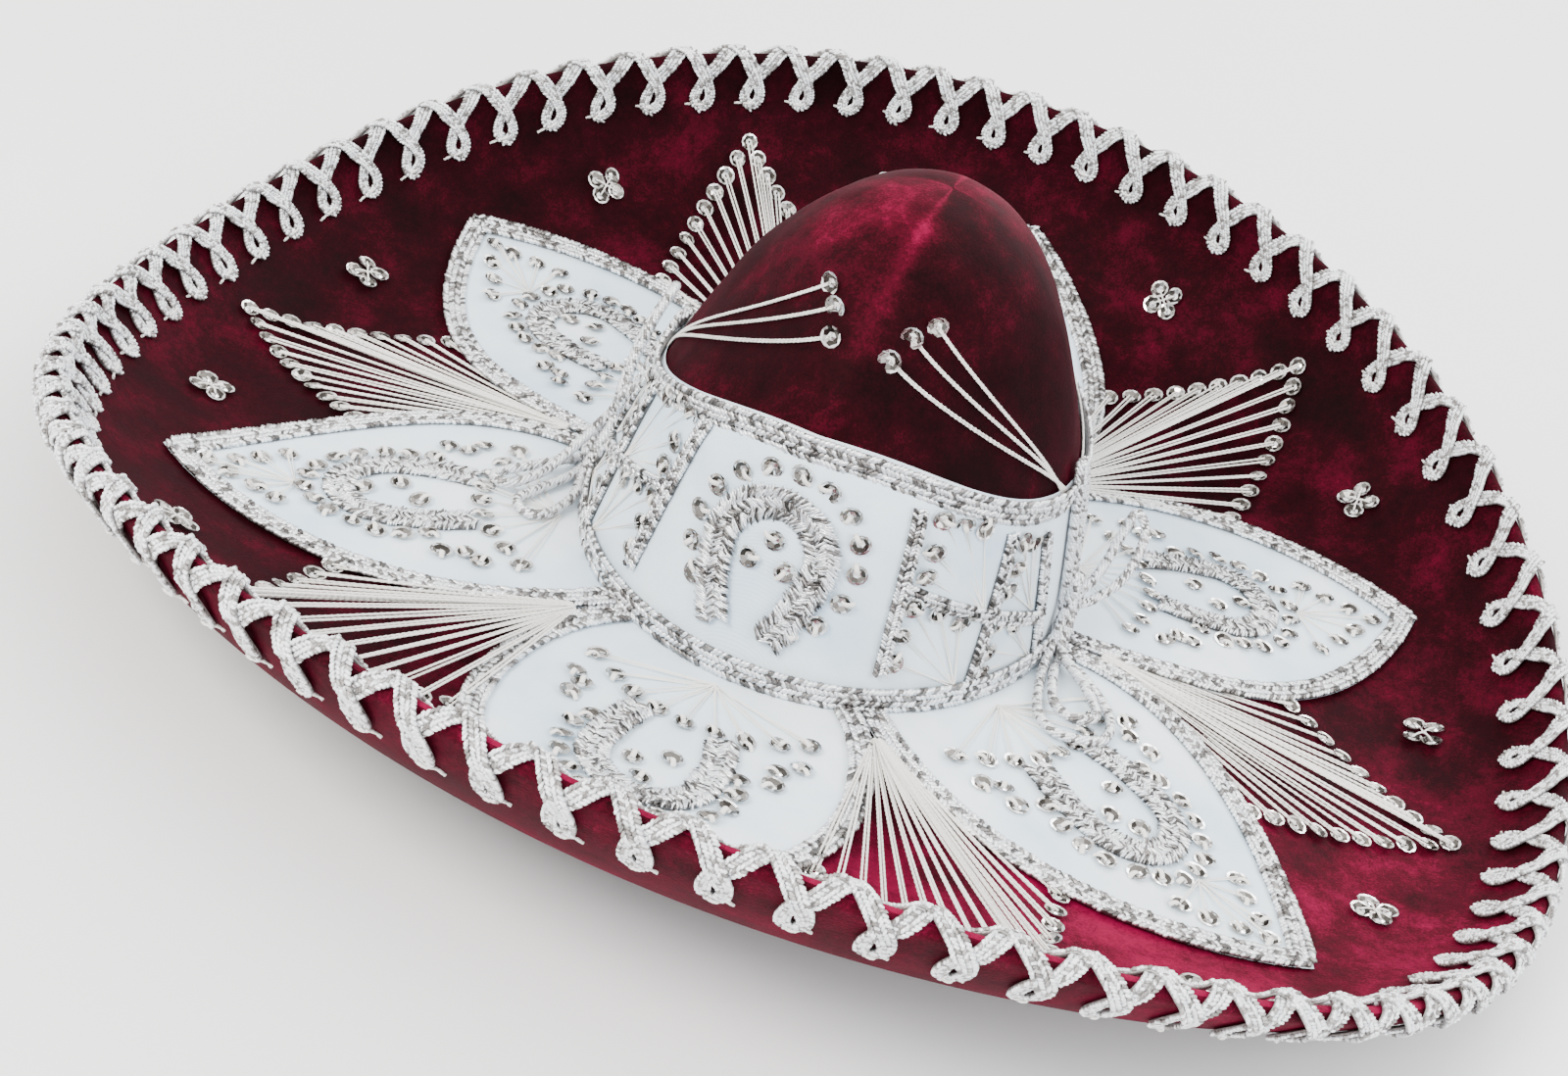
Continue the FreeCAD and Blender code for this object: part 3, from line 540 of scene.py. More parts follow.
def grid(rows, columns, wrap_rows=False, wrap_columns=False):
    """Quads over a grid of points, row by row."""
    r = np.arange(rows if wrap_rows else rows - 1)[:, None]
    c = np.arange(columns if wrap_columns else columns - 1)[None]
    r1, c1 = (r + 1) % rows, (c + 1) % columns
    corners = [r * columns + c, r * columns + c1, r1 * columns + c1, r1 * columns + c]
    return np.stack(corners, axis=-1).reshape(-1, 4)


def ring(count):
    """Angles round the hat in degrees, as a column."""
    return np.linspace(0, 360, count, endpoint=False)[:, None]


def lengths(path):
    """The length of a path up to each of its points."""
    return np.concatenate([[0], np.cumsum(np.linalg.norm(np.diff(path, axis=0), axis=1))])


def unit(vectors):
    return vectors / np.maximum(np.linalg.norm(vectors, axis=-1, keepdims=True), 1e-9)


def lay(surface, first, second, lift=0.0):
    """Points on a surface, and the surface's outward direction there."""
    points = surface(first, second, lift)
    return points, unit(surface(first, second, np.asarray(lift) + 1.0) - points)


def smooth(points, steps=10, closed=False):
    """A Catmull-Rom curve through points."""
    p = np.asarray(points, float)
    p = np.vstack([p[-1:], p, p[:2]]) if closed else np.vstack([2 * p[0] - p[1], p, 2 * p[-1] - p[-2]])
    t = np.linspace(0, 1, steps, endpoint=False)[None, :, None]
    a, b, c, d = (p[i : len(p) - 3 + i, None] for i in range(4))
    curve = 0.5 * (2 * b + (c - a) * t + (2 * a - 5 * b + 4 * c - d) * t**2 + (3 * b - a - 3 * c + d) * t**3)
    curve = curve.reshape(-1, p.shape[1])
    return curve if closed else np.vstack([curve, p[-2]])


def even(points, step, *extras):
    """Points spaced evenly along a path, with other rows of numbers read at the same places."""
    length = lengths(points)
    places = np.linspace(0, length[-1], max(2, int(round(length[-1] / step)) + 1))
    tables = (points, *extras)
    tables = [np.stack([np.interp(places, length, column) for column in table.T], axis=1) for table in tables]
    return tables if extras else tables[0]


def directions(path, up):
    """Along, sideways and up at each point of a path."""
    along = unit(np.gradient(path, axis=0))
    side = unit(np.cross(along, up))
    return along, side, np.cross(side, along)


def sweep(heap, path, up, section, tone=0.5):
    """Sweeps a closed section along a path: section holds (sideways, up) pairs, for each row or for all."""
    _, side, top = directions(path, up)
    section = np.broadcast_to(section, (len(path), *np.shape(section)[-2:]))
    points = path[:, None] + side[:, None] * section[..., :1] + top[:, None] * section[..., 1:]
    rows, columns = points.shape[:2]
    here = np.arange(columns)
    after = (here + 1) % columns
    last = (rows - 1) * columns
    middle = np.full(columns, rows * columns)
    ends = [(here, after, middle), (after + last, here + last, middle + 1)]
    caps = np.vstack([np.stack(end, axis=1) for end in ends])
    points = np.vstack([points.reshape(-1, 3), path[:1], path[-1:]])
    heap.add(points, grid(rows, columns, wrap_columns=True), caps, tone)


def yarn(heap, path, up, radius, tone):
    """A twisted yarn along a path."""
    sides = 5 * PLIES
    angle = 2 * np.pi * np.arange(sides) / sides
    size = radius * (1 - 0.32 * (1 - np.abs(np.cos(PLIES * angle / 2))) ** 0.8)
    turned = angle[None] + 2 * np.pi * lengths(path)[:, None] / YARN_TURN / PLIES
    sweep(heap, path, up, np.stack([size * np.cos(turned), size * np.sin(turned)], axis=-1), tone)


def grain_shape():
    """A small plump stitch of length, width and height 1."""
    ring = 2 * np.pi * (np.arange(4) + 0.5) / 4
    rows = [(x, 0.6 * np.cos(a), 0.6 * np.sin(a)) for x in (-0.28, 0.28) for a in ring]
    points = np.array(rows + [(-0.5, 0, 0), (0.5, 0, 0)])
    here = np.arange(4)
    after = (here + 1) % 4
    quads = np.stack([after, after + 4, here + 4, here], axis=1)
    tips = [(np.full(4, 8), after, here), (np.full(4, 9), here + 4, after + 4)]
    return points, quads, np.vstack([np.stack(tip, axis=1) for tip in tips])


GRAIN = grain_shape()


def add_copies(heap, shape, origins, axes, tones):
    """Copies of a small shape, one at each origin, whose own x, y and z go along the axes' rows."""
    points, *faces = shape
    placed = origins[:, None] + np.einsum("kc,ncd->nkd", points, axes)
    step = (np.arange(len(origins)) * len(points))[:, None, None]
    heap.add(placed, *((kind[None] + step).reshape(-1, kind.shape[1]) for kind in faces), tone=tones)


def tones_and_reflections(draw, count, dark):
    """Tones for the points of stitches: light ones at random, with a share of dark ones as painted
    reflections.
    """
    tones = np.where(draw.random(count) < dark, draw.uniform(0, 0.3, count), draw.uniform(0.5, 1, count))
    return np.repeat(tones, len(GRAIN[0]))


def braid(heap, path, up, width, thick, columns, pitch, draw, slant=38, tall=0.75, dark=0.3):
    """A flat braid, whose width may vary: slanted stitches in mirrored columns over a dark base strip."""
    width = np.broadcast_to(np.reshape(width, (-1, 1)), (len(path), 1))
    path, up, width = even(path, pitch, up, width)
    size = np.stack([width / 2, np.full_like(width, thick)], axis=-1)
    sweep(heap, path, up, np.array(BRAID_BASE) * size, 0.15)
    along, side, top = directions(path, up)
    lean = math.radians(slant)
    count = len(path)
    column = width / columns
    for index in range(columns):
        sign = 1 if index % 2 else -1
        offset = (index + 0.5 - columns / 2) * column * 0.96
        sway = draw.normal(0, 0.14, (count, 3))
        direction = unit(along * math.cos(lean) + side * sign * math.sin(lean) + sway)
        across = unit(np.cross(top, direction))
        shift = draw.normal(0, 0.12 * pitch, (count, 1)) + 0.5 * pitch * (index // 2 % 2)
        raised = 0.6 * thick + draw.normal(0, 0.05 * thick, (count, 1))
        origins = path + side * offset + top * raised + along * shift
        length = 1.5 * column * draw.uniform(0.9, 1.15, (count, 1))
        over = np.cross(direction, across) * tall * thick
        axes = np.stack([direction * length, across * (0.88 * pitch), over], axis=1)
        # Stitch tones: random light ones and a share painted dark as reflections
        add_copies(heap, GRAIN, origins, axes, tones_and_reflections(draw, count, dark))


# Places on the hat


def brim_rate(degrees, share):
    """Millimetres round the brim for one degree."""
    return np.linalg.norm(brim(degrees + 0.5, share) - brim(degrees - 0.5, share), axis=-1)


def on_brim(centre, places, lift):
    """Points and outward directions at places: across from a petal's middle line, and out from the crown."""
    across, out = np.moveaxis(np.asarray(places, float), -1, 0)
    share = out / brim_length(centre)
    return lay(brim, centre + across / brim_rate(centre, share), share, lift)


def on_crown(centre, places, lift):
    """Points and outward directions on the crown at places: across from an angle, and up from the base."""
    across, height = np.moveaxis(np.asarray(places, float), -1, 0)
    rate = np.linalg.norm(crown(centre + 0.5, height) - crown(centre - 0.5, height), axis=-1)
    return lay(crown, centre + across / rate, height, lift)


def half_angle(share):
    """Half of a petal's angle at a share of the brim."""
    part = np.clip((np.asarray(share) - PETAL_JOINT) / (PETAL_TIP - PETAL_JOINT), 0, 1)
    return (PETAL_STEP / 2 - 0.2) * (1 - part**PETAL_SWELL) ** 0.95


def petal_edge(centre, inset):
    """One side of a petal's outline from the crown to the tip, set in by a width: across and out columns."""
    share = np.concatenate([np.linspace(PETAL_START, 0.6, 60), np.linspace(0.6, PETAL_TIP, 60)[1:]])
    side = np.stack([half_angle(share) * brim_rate(centre, share), share * brim_length(centre)], axis=1)
    along = unit(np.gradient(side, axis=0))
    inner = side + inset * np.stack([-along[:, 1], along[:, 0]], axis=1)
    inner = inner[inner[:, 0] > 0]
    return np.vstack([inner, [0, inner[-1, 1] + inner[-1, 0] * 1.1]])


# Velvet, cloth and leather


def nap_and_painted_light(points, degrees, share):
    """The velvet's tone, 0 to 1: a painted highlight growing out to mid-brim, brightest at one angle, a little
    more near the front rim, and crushed patches.
    """
    angle = np.radians(degrees)
    # Painted highlight, brightest on one side of the brim
    facing = 0.5 + 0.5 * np.cos(angle + math.radians(HIGHLIGHT_TURN))
    base_and_highlight = NAP_LOW + HIGHLIGHT_RISE * facing**4 * np.clip(share * 2, 0, 1)
    curl = 0.1 * np.clip(-np.sin(angle), 0, 1) * np.clip(share * 6 - 4.8, 0, 1)
    noise = 0.16 * value_noise(points, 45, 3) + 0.12 * value_noise(points, 14, 4)
    return np.clip(base_and_highlight + curl + noise, 0, 1)


def add_brim_velvet(velvet):
    """The velvet over the brim's top and underside, turned over the rim from both sides, with painted shade on
    the underside.
    """
    degrees = ring(480)
    last = 1 - RIM_HALF / BRIM_LENGTH
    share = np.linspace(0, last, 130)
    turn = np.radians(np.linspace(0, 90, 9))[1:]
    out = np.concatenate([share, last + RIM_HALF * np.sin(turn) / BRIM_LENGTH])[None]
    lift = np.concatenate([np.zeros(share.size), RIM_HALF * np.cos(turn) - RIM_HALF])[None]
    flat = brim(degrees, out, lift)
    ripple = 0.3 * value_noise(flat, 30, 11) * np.clip(out * 12, 0, 1) * np.clip((1 - out) * 20, 0, 1)
    top = brim(degrees, out, lift + ripple)
    under = brim(degrees, out, -BRIM_THICKNESS - lift)
    for side, points, shade, inward in (("top", top, 1, False), ("under", under, 0.6, True)):
        name, node = f"velvet_brim_{side}", f"brim_{side}_velvet"
        # The tone holds painted light; the underside's factor of 0.6 is painted shade
        nap_and_light = nap_and_painted_light(points, degrees, out) * shade
        add_sheet(name, points, nap_and_light, velvet, node, inward=inward)


def add_crown_velvet(velvet):
    """The velvet over the crown, with its four dents."""
    degrees = ring(360)
    part = np.linspace(0, 1, 140)
    height = CROWN_HEIGHT * (1 - (1 - part) ** 2) * 0.99999
    height[0] = -0.5
    points = crown(degrees, height[None])
    ripple = 0.5 * value_noise(points, 22, 5) + 0.2 * value_noise(points, 9, 6)
    points = points + unit(points) * (ripple * np.clip(part * 4, 0, 1))[..., None]
    # Painted light in the tone: shade in the dents, highlight on the ridges and top
    nap_and_light = crown_nap_and_painted_light(points, degrees, part)
    add_sheet("velvet_crown", points, nap_and_light, velvet, "crown_velvet")


def crown_nap_and_painted_light(points, degrees, part):
    """The crown's tone: painted shade in two dents, lighter in the others, painted highlight along the ridges
    and near the top, and crushed patches.
    """
    angle = np.radians(degrees)
    lit = 0.5 + 0.5 * np.sin(2 * angle)
    dent = (0.24 * np.clip(part * 2.2 - 0.9, 0, 1) + 0.1) * lit
    wander = 0.12 * value_noise(points, 30, 10)
    start = 0.28 + 0.4 * np.cos(angle) ** 2
    # Painted highlights along the ridges and near the top
    ridge_highlight = 0.34 * np.exp(-(((np.sin(2 * angle) - wander) / 0.24) ** 2)) * np.clip((part - start) * 2.5, 0, 1)
    top = 0.2 * np.clip(part * 4 - 2.9, 0, 1)
    noise = 0.12 * value_noise(points, 30, 8) + 0.12 * value_noise(points, 9, 9)
    return np.clip(CROWN_NAP + dent + ridge_highlight + top + noise, 0, 1)


def add_lining(lining):
    """The crown's lining, gathered in small pleats towards the top."""
    degrees = ring(240)
    part = np.linspace(0, 1, 90)
    rise = (CROWN_HEIGHT + INSIDE + BRIM_THICKNESS) * (1 - (1 - part) ** 2) * 0.9999
    pleat = 0.25 * np.sin(np.radians(degrees) * 40) * np.clip(part * 3 - 2, 0, 1)
    points = crown(degrees, rise[None] - BRIM_THICKNESS, INSIDE + pleat)
    tone = 0.5 + 0.2 * value_noise(points, 20, 2)
    add_sheet("lining_crown", points, tone, lining, "crown_lining", inward=True)


def add_sweatband(leather, white):
    """The leather sweatband inside the crown, and its row of stitches."""
    path, up = lay(crown, np.linspace(0, 360, 241), 7.0, INSIDE - 0.8)
    outer = [(-12.9, 0.5), (-12.4, 0.65), (12.4, 0.65), (12.9, 0.5)]
    inner = [(12.9, -0.5), (12.4, -0.65), (0, -0.72), (-12.4, -0.65), (-12.9, -0.5)]
    band = Heap()
    sweep(band, path, up, outer + inner)
    build("sweatband_leather", band, leather, ["sweatband"])
    stitches = Heap()
    path, up = lay(crown, ring(200)[:, 0], 17.0, INSIDE - 1.55)
    along, side, top = directions(path, up)
    axes = np.stack([along * 2.1, side * 0.7, top * 0.7], axis=1)
    add_copies(stitches, GRAIN, path, axes, 0.6)
    build("sweatband_stitches", stitches, white)


def add_petals(cloth, silver):
    """White cloth petals with a silver braid along both sides of each."""
    share = np.concatenate([np.linspace(PETAL_START, 0.7, 70), np.linspace(0.7, PETAL_TIP, 14)[1:]])[None]
    across = np.linspace(-1, 1, 49)[:, None]
    fade = (1 - across**4) * np.clip(share * 20, 0, 1)
    for index in range(PETALS):
        centre = PETAL_STEP * (index + 0.5)
        degrees = centre + across * half_angle(share)
        flat = brim(degrees, share, 1.0)
        ripple = 0.35 * value_noise(flat, 24, 21) + 0.2 * value_noise(flat, 8, 22)
        points = brim(degrees, share, 1.0 + fade * ripple)
        name, node = f"petal_cloth_{index + 1}", f"petal_{index + 1}"
        tone = 0.5 + 0.5 * value_noise(flat, 30, 23)
        add_sheet(name, points, tone, cloth, node, closed=False)
        half = petal_edge(centre, BRAID_INSET)
        right = smooth(half[::6], 8)
        right = np.vstack([right[right[:, 1] < half[-1, 1]], half[-1:]])
        path, up = on_brim(centre, np.vstack([right, right[-2::-1] * (-1, 1)]), 1.3)
        edging = Heap()
        braid(edging, path, up, BRAID_WIDTH, 1.9, 4, 1.7, np.random.default_rng(SEED + index))
        build(f"petal_braid_{index + 1}", edging, silver, [f"petal_edging_{index + 1}"])


def add_hatband(cloth, silver):
    """White cloth round the crown, with a silver braid along both of its edges."""
    degrees = ring(360)
    height = 1 + (band_top(degrees) - 2) * np.linspace(0, 1, 40)[None]
    flat = crown(degrees, height, 1.0)
    ripple = 0.25 * value_noise(flat, 26, 31) + 0.12 * value_noise(flat, 9, 32)
    points = crown(degrees, height, 1.0 + ripple)
    tone = 0.5 + 0.5 * value_noise(flat, 30, 33)
    add_sheet("hatband_cloth", points, tone, cloth, "hatband")
    around = np.linspace(0, 360, 361)
    for name, height in (("bottom", 1.2 + BRAID_WIDTH / 2), ("top", band_top(around) - BRAID_WIDTH / 2)):
        path, up = lay(crown, around, height, 1.5)
        edging = Heap()
        braid(edging, path, up, BRAID_WIDTH, 2.0, 4, 1.7, np.random.default_rng(SEED + len(name)))
        build(f"hatband_braid_{name}", edging, silver, [f"band_{name}_braid"])


# Embroidery and sequins


def horseshoe_line(radius, leg, draw_in):
    """The middle of a horseshoe's stroke, open at the bottom: a half-round bend and two legs that draw in."""
    angle = np.linspace(0, np.pi, 13)
    bend = np.stack([radius * np.cos(angle), radius * np.sin(angle)], axis=1)
    right = [(draw_in, -leg), (0.5 * (radius + draw_in) + 1.2, -0.55 * leg)]
    left = [(-x, y) for x, y in right[::-1]]
    return smooth(np.vstack([right, bend, left]), 6)


def fishbone(heap, path, up, width, thick, draw):
    """A thick embroidered stroke: crowded slanted stitches from both edges to its middle."""
    for spread, lean in ((1.0, 66), (0.78, 54)):
        braid(heap, path, up, width * spread, 0.9 * thick, 3, 0.85, draw, slant=lean, tall=0.6, dark=0.38)


def make_sequin():
    """A silver cup with a hole, a six-sided floor, slanted facets and a round rim, and each facet's painted
    reflection: light floor, dark facets, mid rim.
    """
    rings = ((0.14, 0.1), (0.42, 0.02), (0.84, 0.22), (1.0, 0.25))
    points, facet_reflections = [], []
    for (inner, low), (outer, high), sides, shade in zip(rings, rings[1:], (6, 6, 12), (0.9, 0.2, 0.6)):
        for side in range(sides):
            facet_reflections.append(shade)
            for radius, rise, on in ((inner, low, 0), (outer, high, 0), (outer, high, 1), (inner, low, 1)):
                angle = 2 * math.pi * (side + on) / sides
                if radius < 0.9 and sides == 12:
                    turn = (angle + math.pi / 6) % (math.pi / 3) - math.pi / 6
                    radius *= math.cos(math.pi / 6) / math.cos(turn)
                points.append((radius * math.cos(angle), radius * math.sin(angle), rise))
    return np.array(points), np.arange(len(points)).reshape(-1, 4), np.array(facet_reflections)


def add_sequins(name, node, laid, cup, white, draw, tacks=True):
    """Sequins at points with directions, each tilted a little, with a thread from its hole over its edge."""
    places, ups = (np.concatenate(column) for column in zip(*laid))
    count = len(places)
    shape, quads, facet_reflections = make_sequin()
    up = unit(ups + draw.normal(0, 0.09, (count, 3)))
    turn = draw.uniform(0, 2 * np.pi, count)[:, None]
    level = unit(np.cross(up, [0.3, 0.2, 1.0]))
    first = level * np.cos(turn) + np.cross(up, level) * np.sin(turn)
    radius = SEQUIN / 2 * draw.uniform(0.94, 1.05, (count, 1))
    axes = np.stack([first, np.cross(up, first), up], axis=1) * radius[:, None]
    # Painted reflections on the facets, varied a little at random
    tones = np.clip(facet_reflections + draw.normal(0, 0.22, (count, len(quads))), 0, 1).ravel()
    cups = Heap()
    add_copies(cups, (shape, quads), places, axes, np.repeat(tones, 4))
    build(name, cups, cup, [node], smooth=False)
    if tacks:
        threads = Heap()
        arc = np.linspace(0, 1, 6)
        rise = 0.35 + 1.2 * np.sin(np.pi * np.clip(arc, 0, 0.97))
        for place, u, f in zip(places, up, first):
            path = place + np.outer(arc, f * SEQUIN * 0.56) + np.outer(rise, u)
            sweep(threads, path, np.tile(u, (6, 1)), TACK, 0.7)
        build(name + "_tacks", threads, white)


def add_rays(heap, start, points, ups, scatter, lift, draw):
    """Three fine threads from a start to each point, all a little astray."""
    for point, up in zip(points, ups):
        for _ in range(3):
            root = start + draw.normal(0, 0.4, 3)
            tip = point + draw.normal(0, 1, 3) * scatter + lift * up
            sweep(heap, np.linspace(root, tip, 4), np.tile(up, (4, 1)), FINE_THREAD, 0.8)


def circle(radius, sides=6):
    """A round section."""
    angle = 2 * np.pi * np.arange(sides) / sides
    return np.stack([radius * np.cos(angle), radius * np.sin(angle)], axis=1)


TACK = circle(0.5) * (1.9, 0.8)
FINE_THREAD = circle(0.22, 5)


def add_petal_trim(silver, cup, white):
    """On each petal: a horseshoe, the sequins round it, and fans of fine thread to the sequins' rows."""
    draw = np.random.default_rng(SEED + 40)
    laid = []
    threads = Heap()
    line = horseshoe_line(19, 29, 15) + (0, 70)
    rows = petal_sequins()
    for index in range(PETALS):
        centre = PETAL_STEP * (index + 0.5)
        shoe = Heap()
        fishbone(shoe, *on_brim(centre, line, 1.2), 11.5, 2.6, draw)
        build(f"petal_shoe_{index + 1}", shoe, silver, [f"petal_horseshoe_{index + 1}"])
        for root, spots in rows:
            laid.append(on_brim(centre, spots + draw.normal(0, 0.5, (len(spots), 2)), 1.6))
            if root:
                start = on_brim(centre, root, 1.5)[0]
                add_rays(threads, start, *laid[-1], (0.8, 0.8, 0.16), 1, draw)
    add_sequins("sequins_petals", "petal_sequins", laid, cup, white, draw)
    build("petal_threads", threads, white)


def petal_sequins():
    """Rows of sequins on a petal, each with the point that its fine threads come from, or None."""
    base = [(x, 38 - 0.006 * x * x) for x in np.linspace(-40, 40, 9)]
    angle = np.linspace(-0.45, np.pi + 0.45, 14)
    around = [(29.5 * math.cos(a), 71 + 30 * math.sin(a)) for a in angle]
    inside = [(0, 78), (-6, 68), (5, 60)]
    tip = [(side * 6.2 * i, 136 - 8.6 * i) for i in range(4) for side in ((1, -1) if i else (1,))]
    clusters = [(side * x, y) for side in (-1, 1) for x, y in ((42, 43), (36.5, 47), (38, 54.5))]
    return ((0, 9), base), (None, around), (None, inside), ((2, 104), tip), (None, clusters)


def add_band_trim(silver, cup, white):
    """On the band: a horseshoe at the front and back, and an H of chained bars on both sides of each."""
    draw = np.random.default_rng(SEED + 50)
    laid = []
    threads = Heap()
    line = horseshoe_line(18, 27, 9.5) + (-0.8, 46)
    angles = np.linspace(-1.05, np.pi + 1.05, 15)
    spots = [(29 * math.cos(a), 47 + 28 * math.sin(a)) for a in angles]
    spots += [(-6.6, 43.5), (-0.4, 52), (6.6, 43.6)]
    for name, middle in (("front", FRONT), ("back", BACK)):
        shoe = Heap()
        fishbone(shoe, *on_crown(middle, line, 1.2), 12.5, 2.8, draw)
        build(f"band_shoe_{name}", shoe, silver, [f"band_horseshoe_{name}"])
        laid.append(on_crown(middle, spots, 1.7))
    left = ("front_left", LEFT, -1), ("back_left", LEFT, 1)
    right = ("back_right", RIGHT, -1), ("front_right", RIGHT, 1)
    for name, seam, side in left + right:
        bars = Heap()
        for ends in H_BARS:
            away, height = np.linspace(*ends, 30).T
            path, up = lay(crown, seam + side * away, height, 1.3)
            braid(bars, path, up, 5.8, 2.2, 3, 1.2, draw, slant=46, dark=0.36)
        build(f"band_h_{name}_bars", bars, silver, [f"band_h_{name}"])
        for root, spots in H_CELLS:
            away, height = np.transpose(spots)
            laid.append(lay(crown, seam + side * away, height, 1.7))
            start = lay(crown, seam + side * root[0], root[1], 1.5)[0]
            add_rays(threads, start, *laid[-1], 0.6, 0.6, draw)
    add_sequins("sequins_band", "band_sequins", laid, cup, white, draw)
    build("band_threads", threads, white)


# Yarn


def fan_sequins(centre):
    """Angles and shares of a fan's sequins, from one side round its tip to the other."""
    beside = (PETAL_STEP / 2 - half_angle(FAN_SIDE) - 1) * brim_rate(centre, FAN_SIDE)
    part = np.linspace(-1, 1, 19)
    share = FAN_TIP + (FAN_SIDE - FAN_TIP) * np.abs(part)
    return centre + beside * part / brim_rate(centre, share), share


def add_fans(cup, white):
    """A fan of taut yarn in each gap between petals, from a point by the crown to a row of sequins."""
    draw = np.random.default_rng(SEED + 60)
    laid = []
    way = np.linspace(0, 1, 110)[:, None]
    for index in range(PETALS):
        centre = float(PETAL_STEP * index)
        points, out = lay(brim, *fan_sequins(centre), 0.8)
        laid.append((points, out))
        root, root_up = lay(brim, centre, FAN_ROOT, 2.6)
        across = unit(points[-1] - points[0])
        fan = Heap()
        for part, point, u in zip(np.linspace(-0.5, 0.5, len(points)), points, out):
            for pair in (-1, 1):
                start = root + across * (3.2 * part + 0.4 * pair) + root_up * draw.uniform(-0.4, 1.0)
                end = point + u * 0.9 + across * (0.75 * pair) + draw.normal(0, 0.2, 3)
                sag = 0.5 * np.sin(np.pi * way) * draw.uniform(0, 1)
                path = start + (end - start) * way - root_up * sag
                yarn(fan, path, np.tile(root_up, (len(path), 1)), 0.5, draw.uniform(0.3, 0.9))
        build(f"yarn_fan_{index + 1}", fan, white, [f"thread_fan_{index + 1}"])
    add_sequins("sequins_fans", "fan_sequins", laid, cup, white, draw, tacks=False)


def add_flowers(cup, white):
    """Flowers of four sequins, with a cross of yarn over each, in a ring outside the petals."""
    draw = np.random.default_rng(SEED + 70)
    laid = []
    crosses = Heap()
    hump = 0.6 * np.sin(np.linspace(0, np.pi, 10))
    for index in range(2 * PETALS):
        centre = PETAL_STEP * (index + 0.5) / 2
        middle = (0, FLOWER_PLACE * brim_length(centre))
        turn = math.radians(draw.uniform(-12, 12))
        corners = turn + np.pi / 4 + np.pi / 2 * np.arange(4)
        spots = 5.3 * np.stack([np.cos(corners), np.sin(corners)], axis=1) + middle
        points, out = on_brim(centre, spots, 0.8)
        laid.append((points, out))
        heart, heart_up = on_brim(centre, middle, 1.6)
        for point, u in zip(points, out):
            path = heart + np.outer(np.linspace(-0.1, 1.05, 10), point + u * 0.8 - heart) + np.outer(hump, u)
            yarn(crosses, path, np.tile(heart_up, (10, 1)), 0.45, 0.7)
    add_sequins("sequins_flowers", "flower_sequins", laid, cup, white, draw, tacks=False)
    build("flower_yarn", crosses, white)


def outside_crown(path):
    """A taut path, pushed out where it would pass through the crown, and the outward direction along it."""
    centre = (crown(0, path[:, 2]) + crown(180, path[:, 2])) / 2
    away = (path - centre)[:, :2] / (HALF_WIDTH, HALF_DEPTH)
    skin, up = lay(crown, np.degrees(np.arctan2(away[:, 1], away[:, 0])), path[:, 2], 1.1)
    inside = np.sum((path - skin) * up, axis=1) < 0
    return np.where(inside[:, None], skin, path), up


def add_crown_yarn(cup, white):
    """Three strands of yarn from each seam of the band to three sequins in each dent of the crown."""
    draw = np.random.default_rng(SEED + 80)
    strands = Heap()
    laid = []
    part = np.linspace(0, 1, 60)[:, None]
    for seam, side in ((LEFT, -1), (LEFT, 1), (RIGHT, -1), (RIGHT, 1)):
        for order, (away, height) in enumerate(CROWN_SEQUINS):
            point, u = lay(crown, seam + side * away, height, 1.2)
            root, _ = lay(crown, seam + side * (7 + 1.2 * order), band_top(seam) - 2, 1.2)
            laid.append((point[None], u[None]))
            for pair in (-1, 1):
                path, up = outside_crown(root + (point + 0.8 * u - root) * part + (0, 0, 0.35 * pair))
                yarn(strands, path, up, 0.5, draw.uniform(0.4, 0.9))
    add_sequins("sequins_crown", "crown_sequins", laid, cup, white, draw, tacks=False)
    build("crown_yarn", strands, white, ["crown_threads"])


# Silver cord and the rim's braid


def laid_cord(heap, path, up, draw):
    """A round silver cord: slanted stitches wound round a core."""
    path, up = even(path, CORD_PITCH, up)
    sweep(heap, path, up, circle(0.75 * CORD_RADIUS, 8), 0.2)
    along, side, top = directions(path, up)
    count = len(path)
    lean = math.radians(40)
    for index in range(6):
        angle = np.pi / 3 * (index + 0.5 * (np.arange(count) % 2))[:, None]
        outward = side * np.cos(angle) + top * np.sin(angle)
        direction = along * math.cos(lean) + np.cross(outward, along) * math.sin(lean)
        across = np.cross(outward, direction)
        axes = np.stack([direction * 1.75, across * 0.85, outward * 0.7], axis=1) * CORD_RADIUS
        origins = path + outward * (0.78 * CORD_RADIUS)
        # Stitch tones: random light ones and a share painted dark as reflections
        add_copies(heap, GRAIN, origins, axes, tones_and_reflections(draw, count, 0.25))


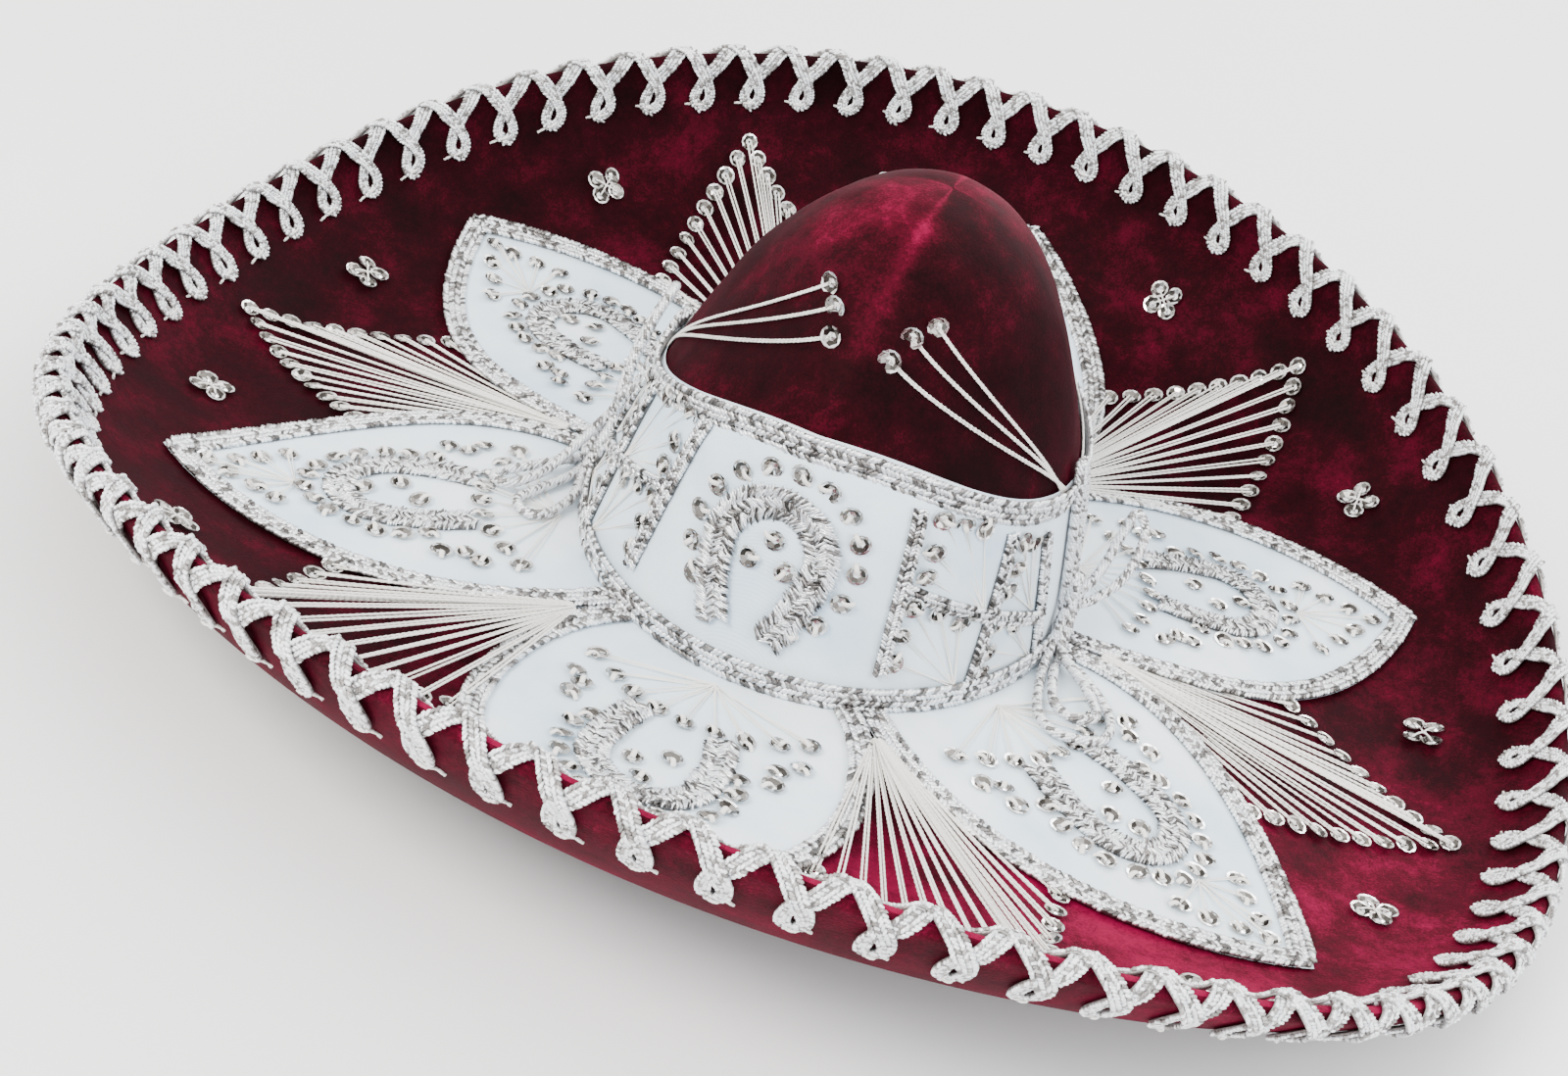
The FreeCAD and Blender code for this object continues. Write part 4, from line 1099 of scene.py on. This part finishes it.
def add_bows(cord):
    """Silver cords up each seam of the band, tied in a bow whose loops lie on the brim."""
    draw = np.random.default_rng(SEED + 85)
    bulge = 0.65 + 0.35 * np.sin(np.linspace(0, np.pi, 40))
    angle = np.linspace(0, 2 * np.pi, 30)
    for name, seam, side, loops in (("left", LEFT, -1, LEFT_LOOPS), ("right", RIGHT, 1, RIGHT_LOOPS)):
        bundle = Heap()
        height = np.linspace(18, band_top(seam) + 5, 40)
        for order, across in enumerate((-4.2, -1.4, 1.4, 4.2)):
            path, up = on_crown(seam, np.stack([across * bulge, height], axis=1), 3.6 + 0.8 * (order % 2))
            laid_cord(bundle, path, up, draw)
        build(f"seam_cord_{name}", bundle, cord, [f"seam_cords_{name}"])
        bow = Heap()
        for turn, lift in ((0, 6.4), (50, 7.4), (-50, 7.8)):
            lean = math.radians(turn)
            x = 4.6 * np.cos(angle)
            y = 24 + 6 * np.sin(angle) * math.cos(lean) + x * math.sin(lean)
            laid_cord(bow, *on_crown(seam, np.stack([x, y], axis=1), lift), draw)
        for loop in loops:
            control = zip(*(on_hat(seam, side * across, reach, lift) for across, reach, lift in loop))
            path, up = (smooth(column, 14) for column in control)
            laid_cord(bow, path, up, draw)
        build(f"bow_{name}_loops", bow, cord, [f"bow_{name}"])


def on_hat(seam, across, reach, lift):
    """A point near a seam: up the crown where reach is over 0, and out on the brim where it is under 0."""
    if reach > 0:
        return on_crown(seam, (across, reach), lift)
    return on_brim(seam, (across, -reach), lift)


def over_rim(degrees, distance, lift):
    """Points at distances in from the rim on the top, or carried round the rim where negative."""
    radius = RIM_HALF + lift
    turn = np.clip((RIM_HALF - distance) / RIM_HALF, 0, np.pi)
    straight = np.maximum(distance - RIM_HALF, 0)
    beneath = np.maximum(RIM_HALF - distance - np.pi * RIM_HALF, 0)
    length = brim_length(degrees)
    out = length - RIM_HALF + radius * np.sin(turn) - straight - beneath
    return brim(degrees, out / length, radius * np.cos(turn) - RIM_HALF)


def rim_angle(loop, along):
    """The angle of a place along a loop of the lace, whose loops are closer together at the front."""
    turn = (loop - 0.06 + along / PITCH_LENGTH) / RIM_LOOPS
    angle = 2 * np.pi * turn
    front, left, sides = LOOP_SPREAD
    return 360 * turn + front * np.cos(angle) + left * np.sin(angle) + sides * np.sin(2 * angle)


def add_rim_braid(silver, draw):
    """Two long braids laced over the rim, in turns of a crossed loop on the top and one underneath."""
    half = smooth(RIM_LACE, 7)
    along, course = np.vstack([half, half[-2::-1] * (-1, 1) + (2 * half[-1, 0], 0)])[:-1].T
    way = np.linspace(0, 1, len(along))
    over = 0.5 + sum(1.6 * np.exp(-(((way - crossing) / 0.05) ** 2)) for crossing in OVER_CROSSINGS)
    lace = Heap()
    for strand in (0, 1):
        rows = []
        for loop in range(strand, RIM_LOOPS + strand, 2):
            size = draw.uniform(0.95, 1.06)
            reach = np.where(course > 6, 6 + (course - 6) * size, course)
            degrees = rim_angle(loop, along)
            middle = np.clip(1 - np.abs(reach - RIM_CROSSING) / 20, 0, 1)
            slip = CROSSING_SLIP * np.sin(np.radians(degrees)) * middle
            rows.append((degrees, reach + slip, over))
        degrees, reach, lift = (np.concatenate(column) for column in zip(*rows))
        narrow = np.clip((np.abs(reach - RIM_CROSSING) - 7) / 6, 0, 1)
        width = RIM_BRAID + (LOOP_BRAID - RIM_BRAID) * narrow
        columns = (*lay(over_rim, degrees, reach, lift), width)
        closed = [np.concatenate([column, column[:1]]) for column in columns]
        braid(lace, *closed, 1.7, 4, 1.15, draw, slant=32, dark=0.26)
    build("rim_lace", lace, silver, ["rim_braid"])


def add_rim_tacks(white, draw):
    """A stitch of yarn over the end of each of the lace's loops, on the top and underneath."""
    tacks = Heap()
    x = np.linspace(-1.0, 7.4, 9)
    lift = 2.6 - 2.2 * np.clip((x - 1.5) / 3, 0, 1)
    for loop in range(RIM_LOOPS):
        tilt = draw.uniform(-0.3, 0.3)
        for y in (21.6 + tilt * x, -22.6 - (0.35 + tilt) * x):
            yarn(tacks, *lay(over_rim, rim_angle(loop, x), y, lift), 0.6, 0.6)
    build("rim_tacks", tacks, white, ["rim_stitches"])


# Making the hat

add_camera()
add_studio()
velvet = velvet_material()
cloth = cloth_material()
silver = silver_material("silver_braid", 0.75)
stitched = silver_material("silver_embroidery", 0.85)
lace = silver_material("rim_lace", 0.45, "silver_braid")
cord = silver_material("silver_cord", 0.6)
cup = sequin_material()
white = yarn_material()

add_brim_velvet(velvet)
add_crown_velvet(velvet)
add_lining(lining_material())
add_sweatband(leather_material(), white)
add_petals(cloth, silver)
add_hatband(cloth, silver)
add_petal_trim(stitched, cup, white)
add_band_trim(stitched, cup, white)
add_fans(cup, white)
add_flowers(cup, white)
add_crown_yarn(cup, white)
add_bows(cord)
rim_draw = np.random.default_rng(SEED + 90)
add_rim_braid(lace, rim_draw)
add_rim_tacks(white, rim_draw)
finish_hidden_nodes()
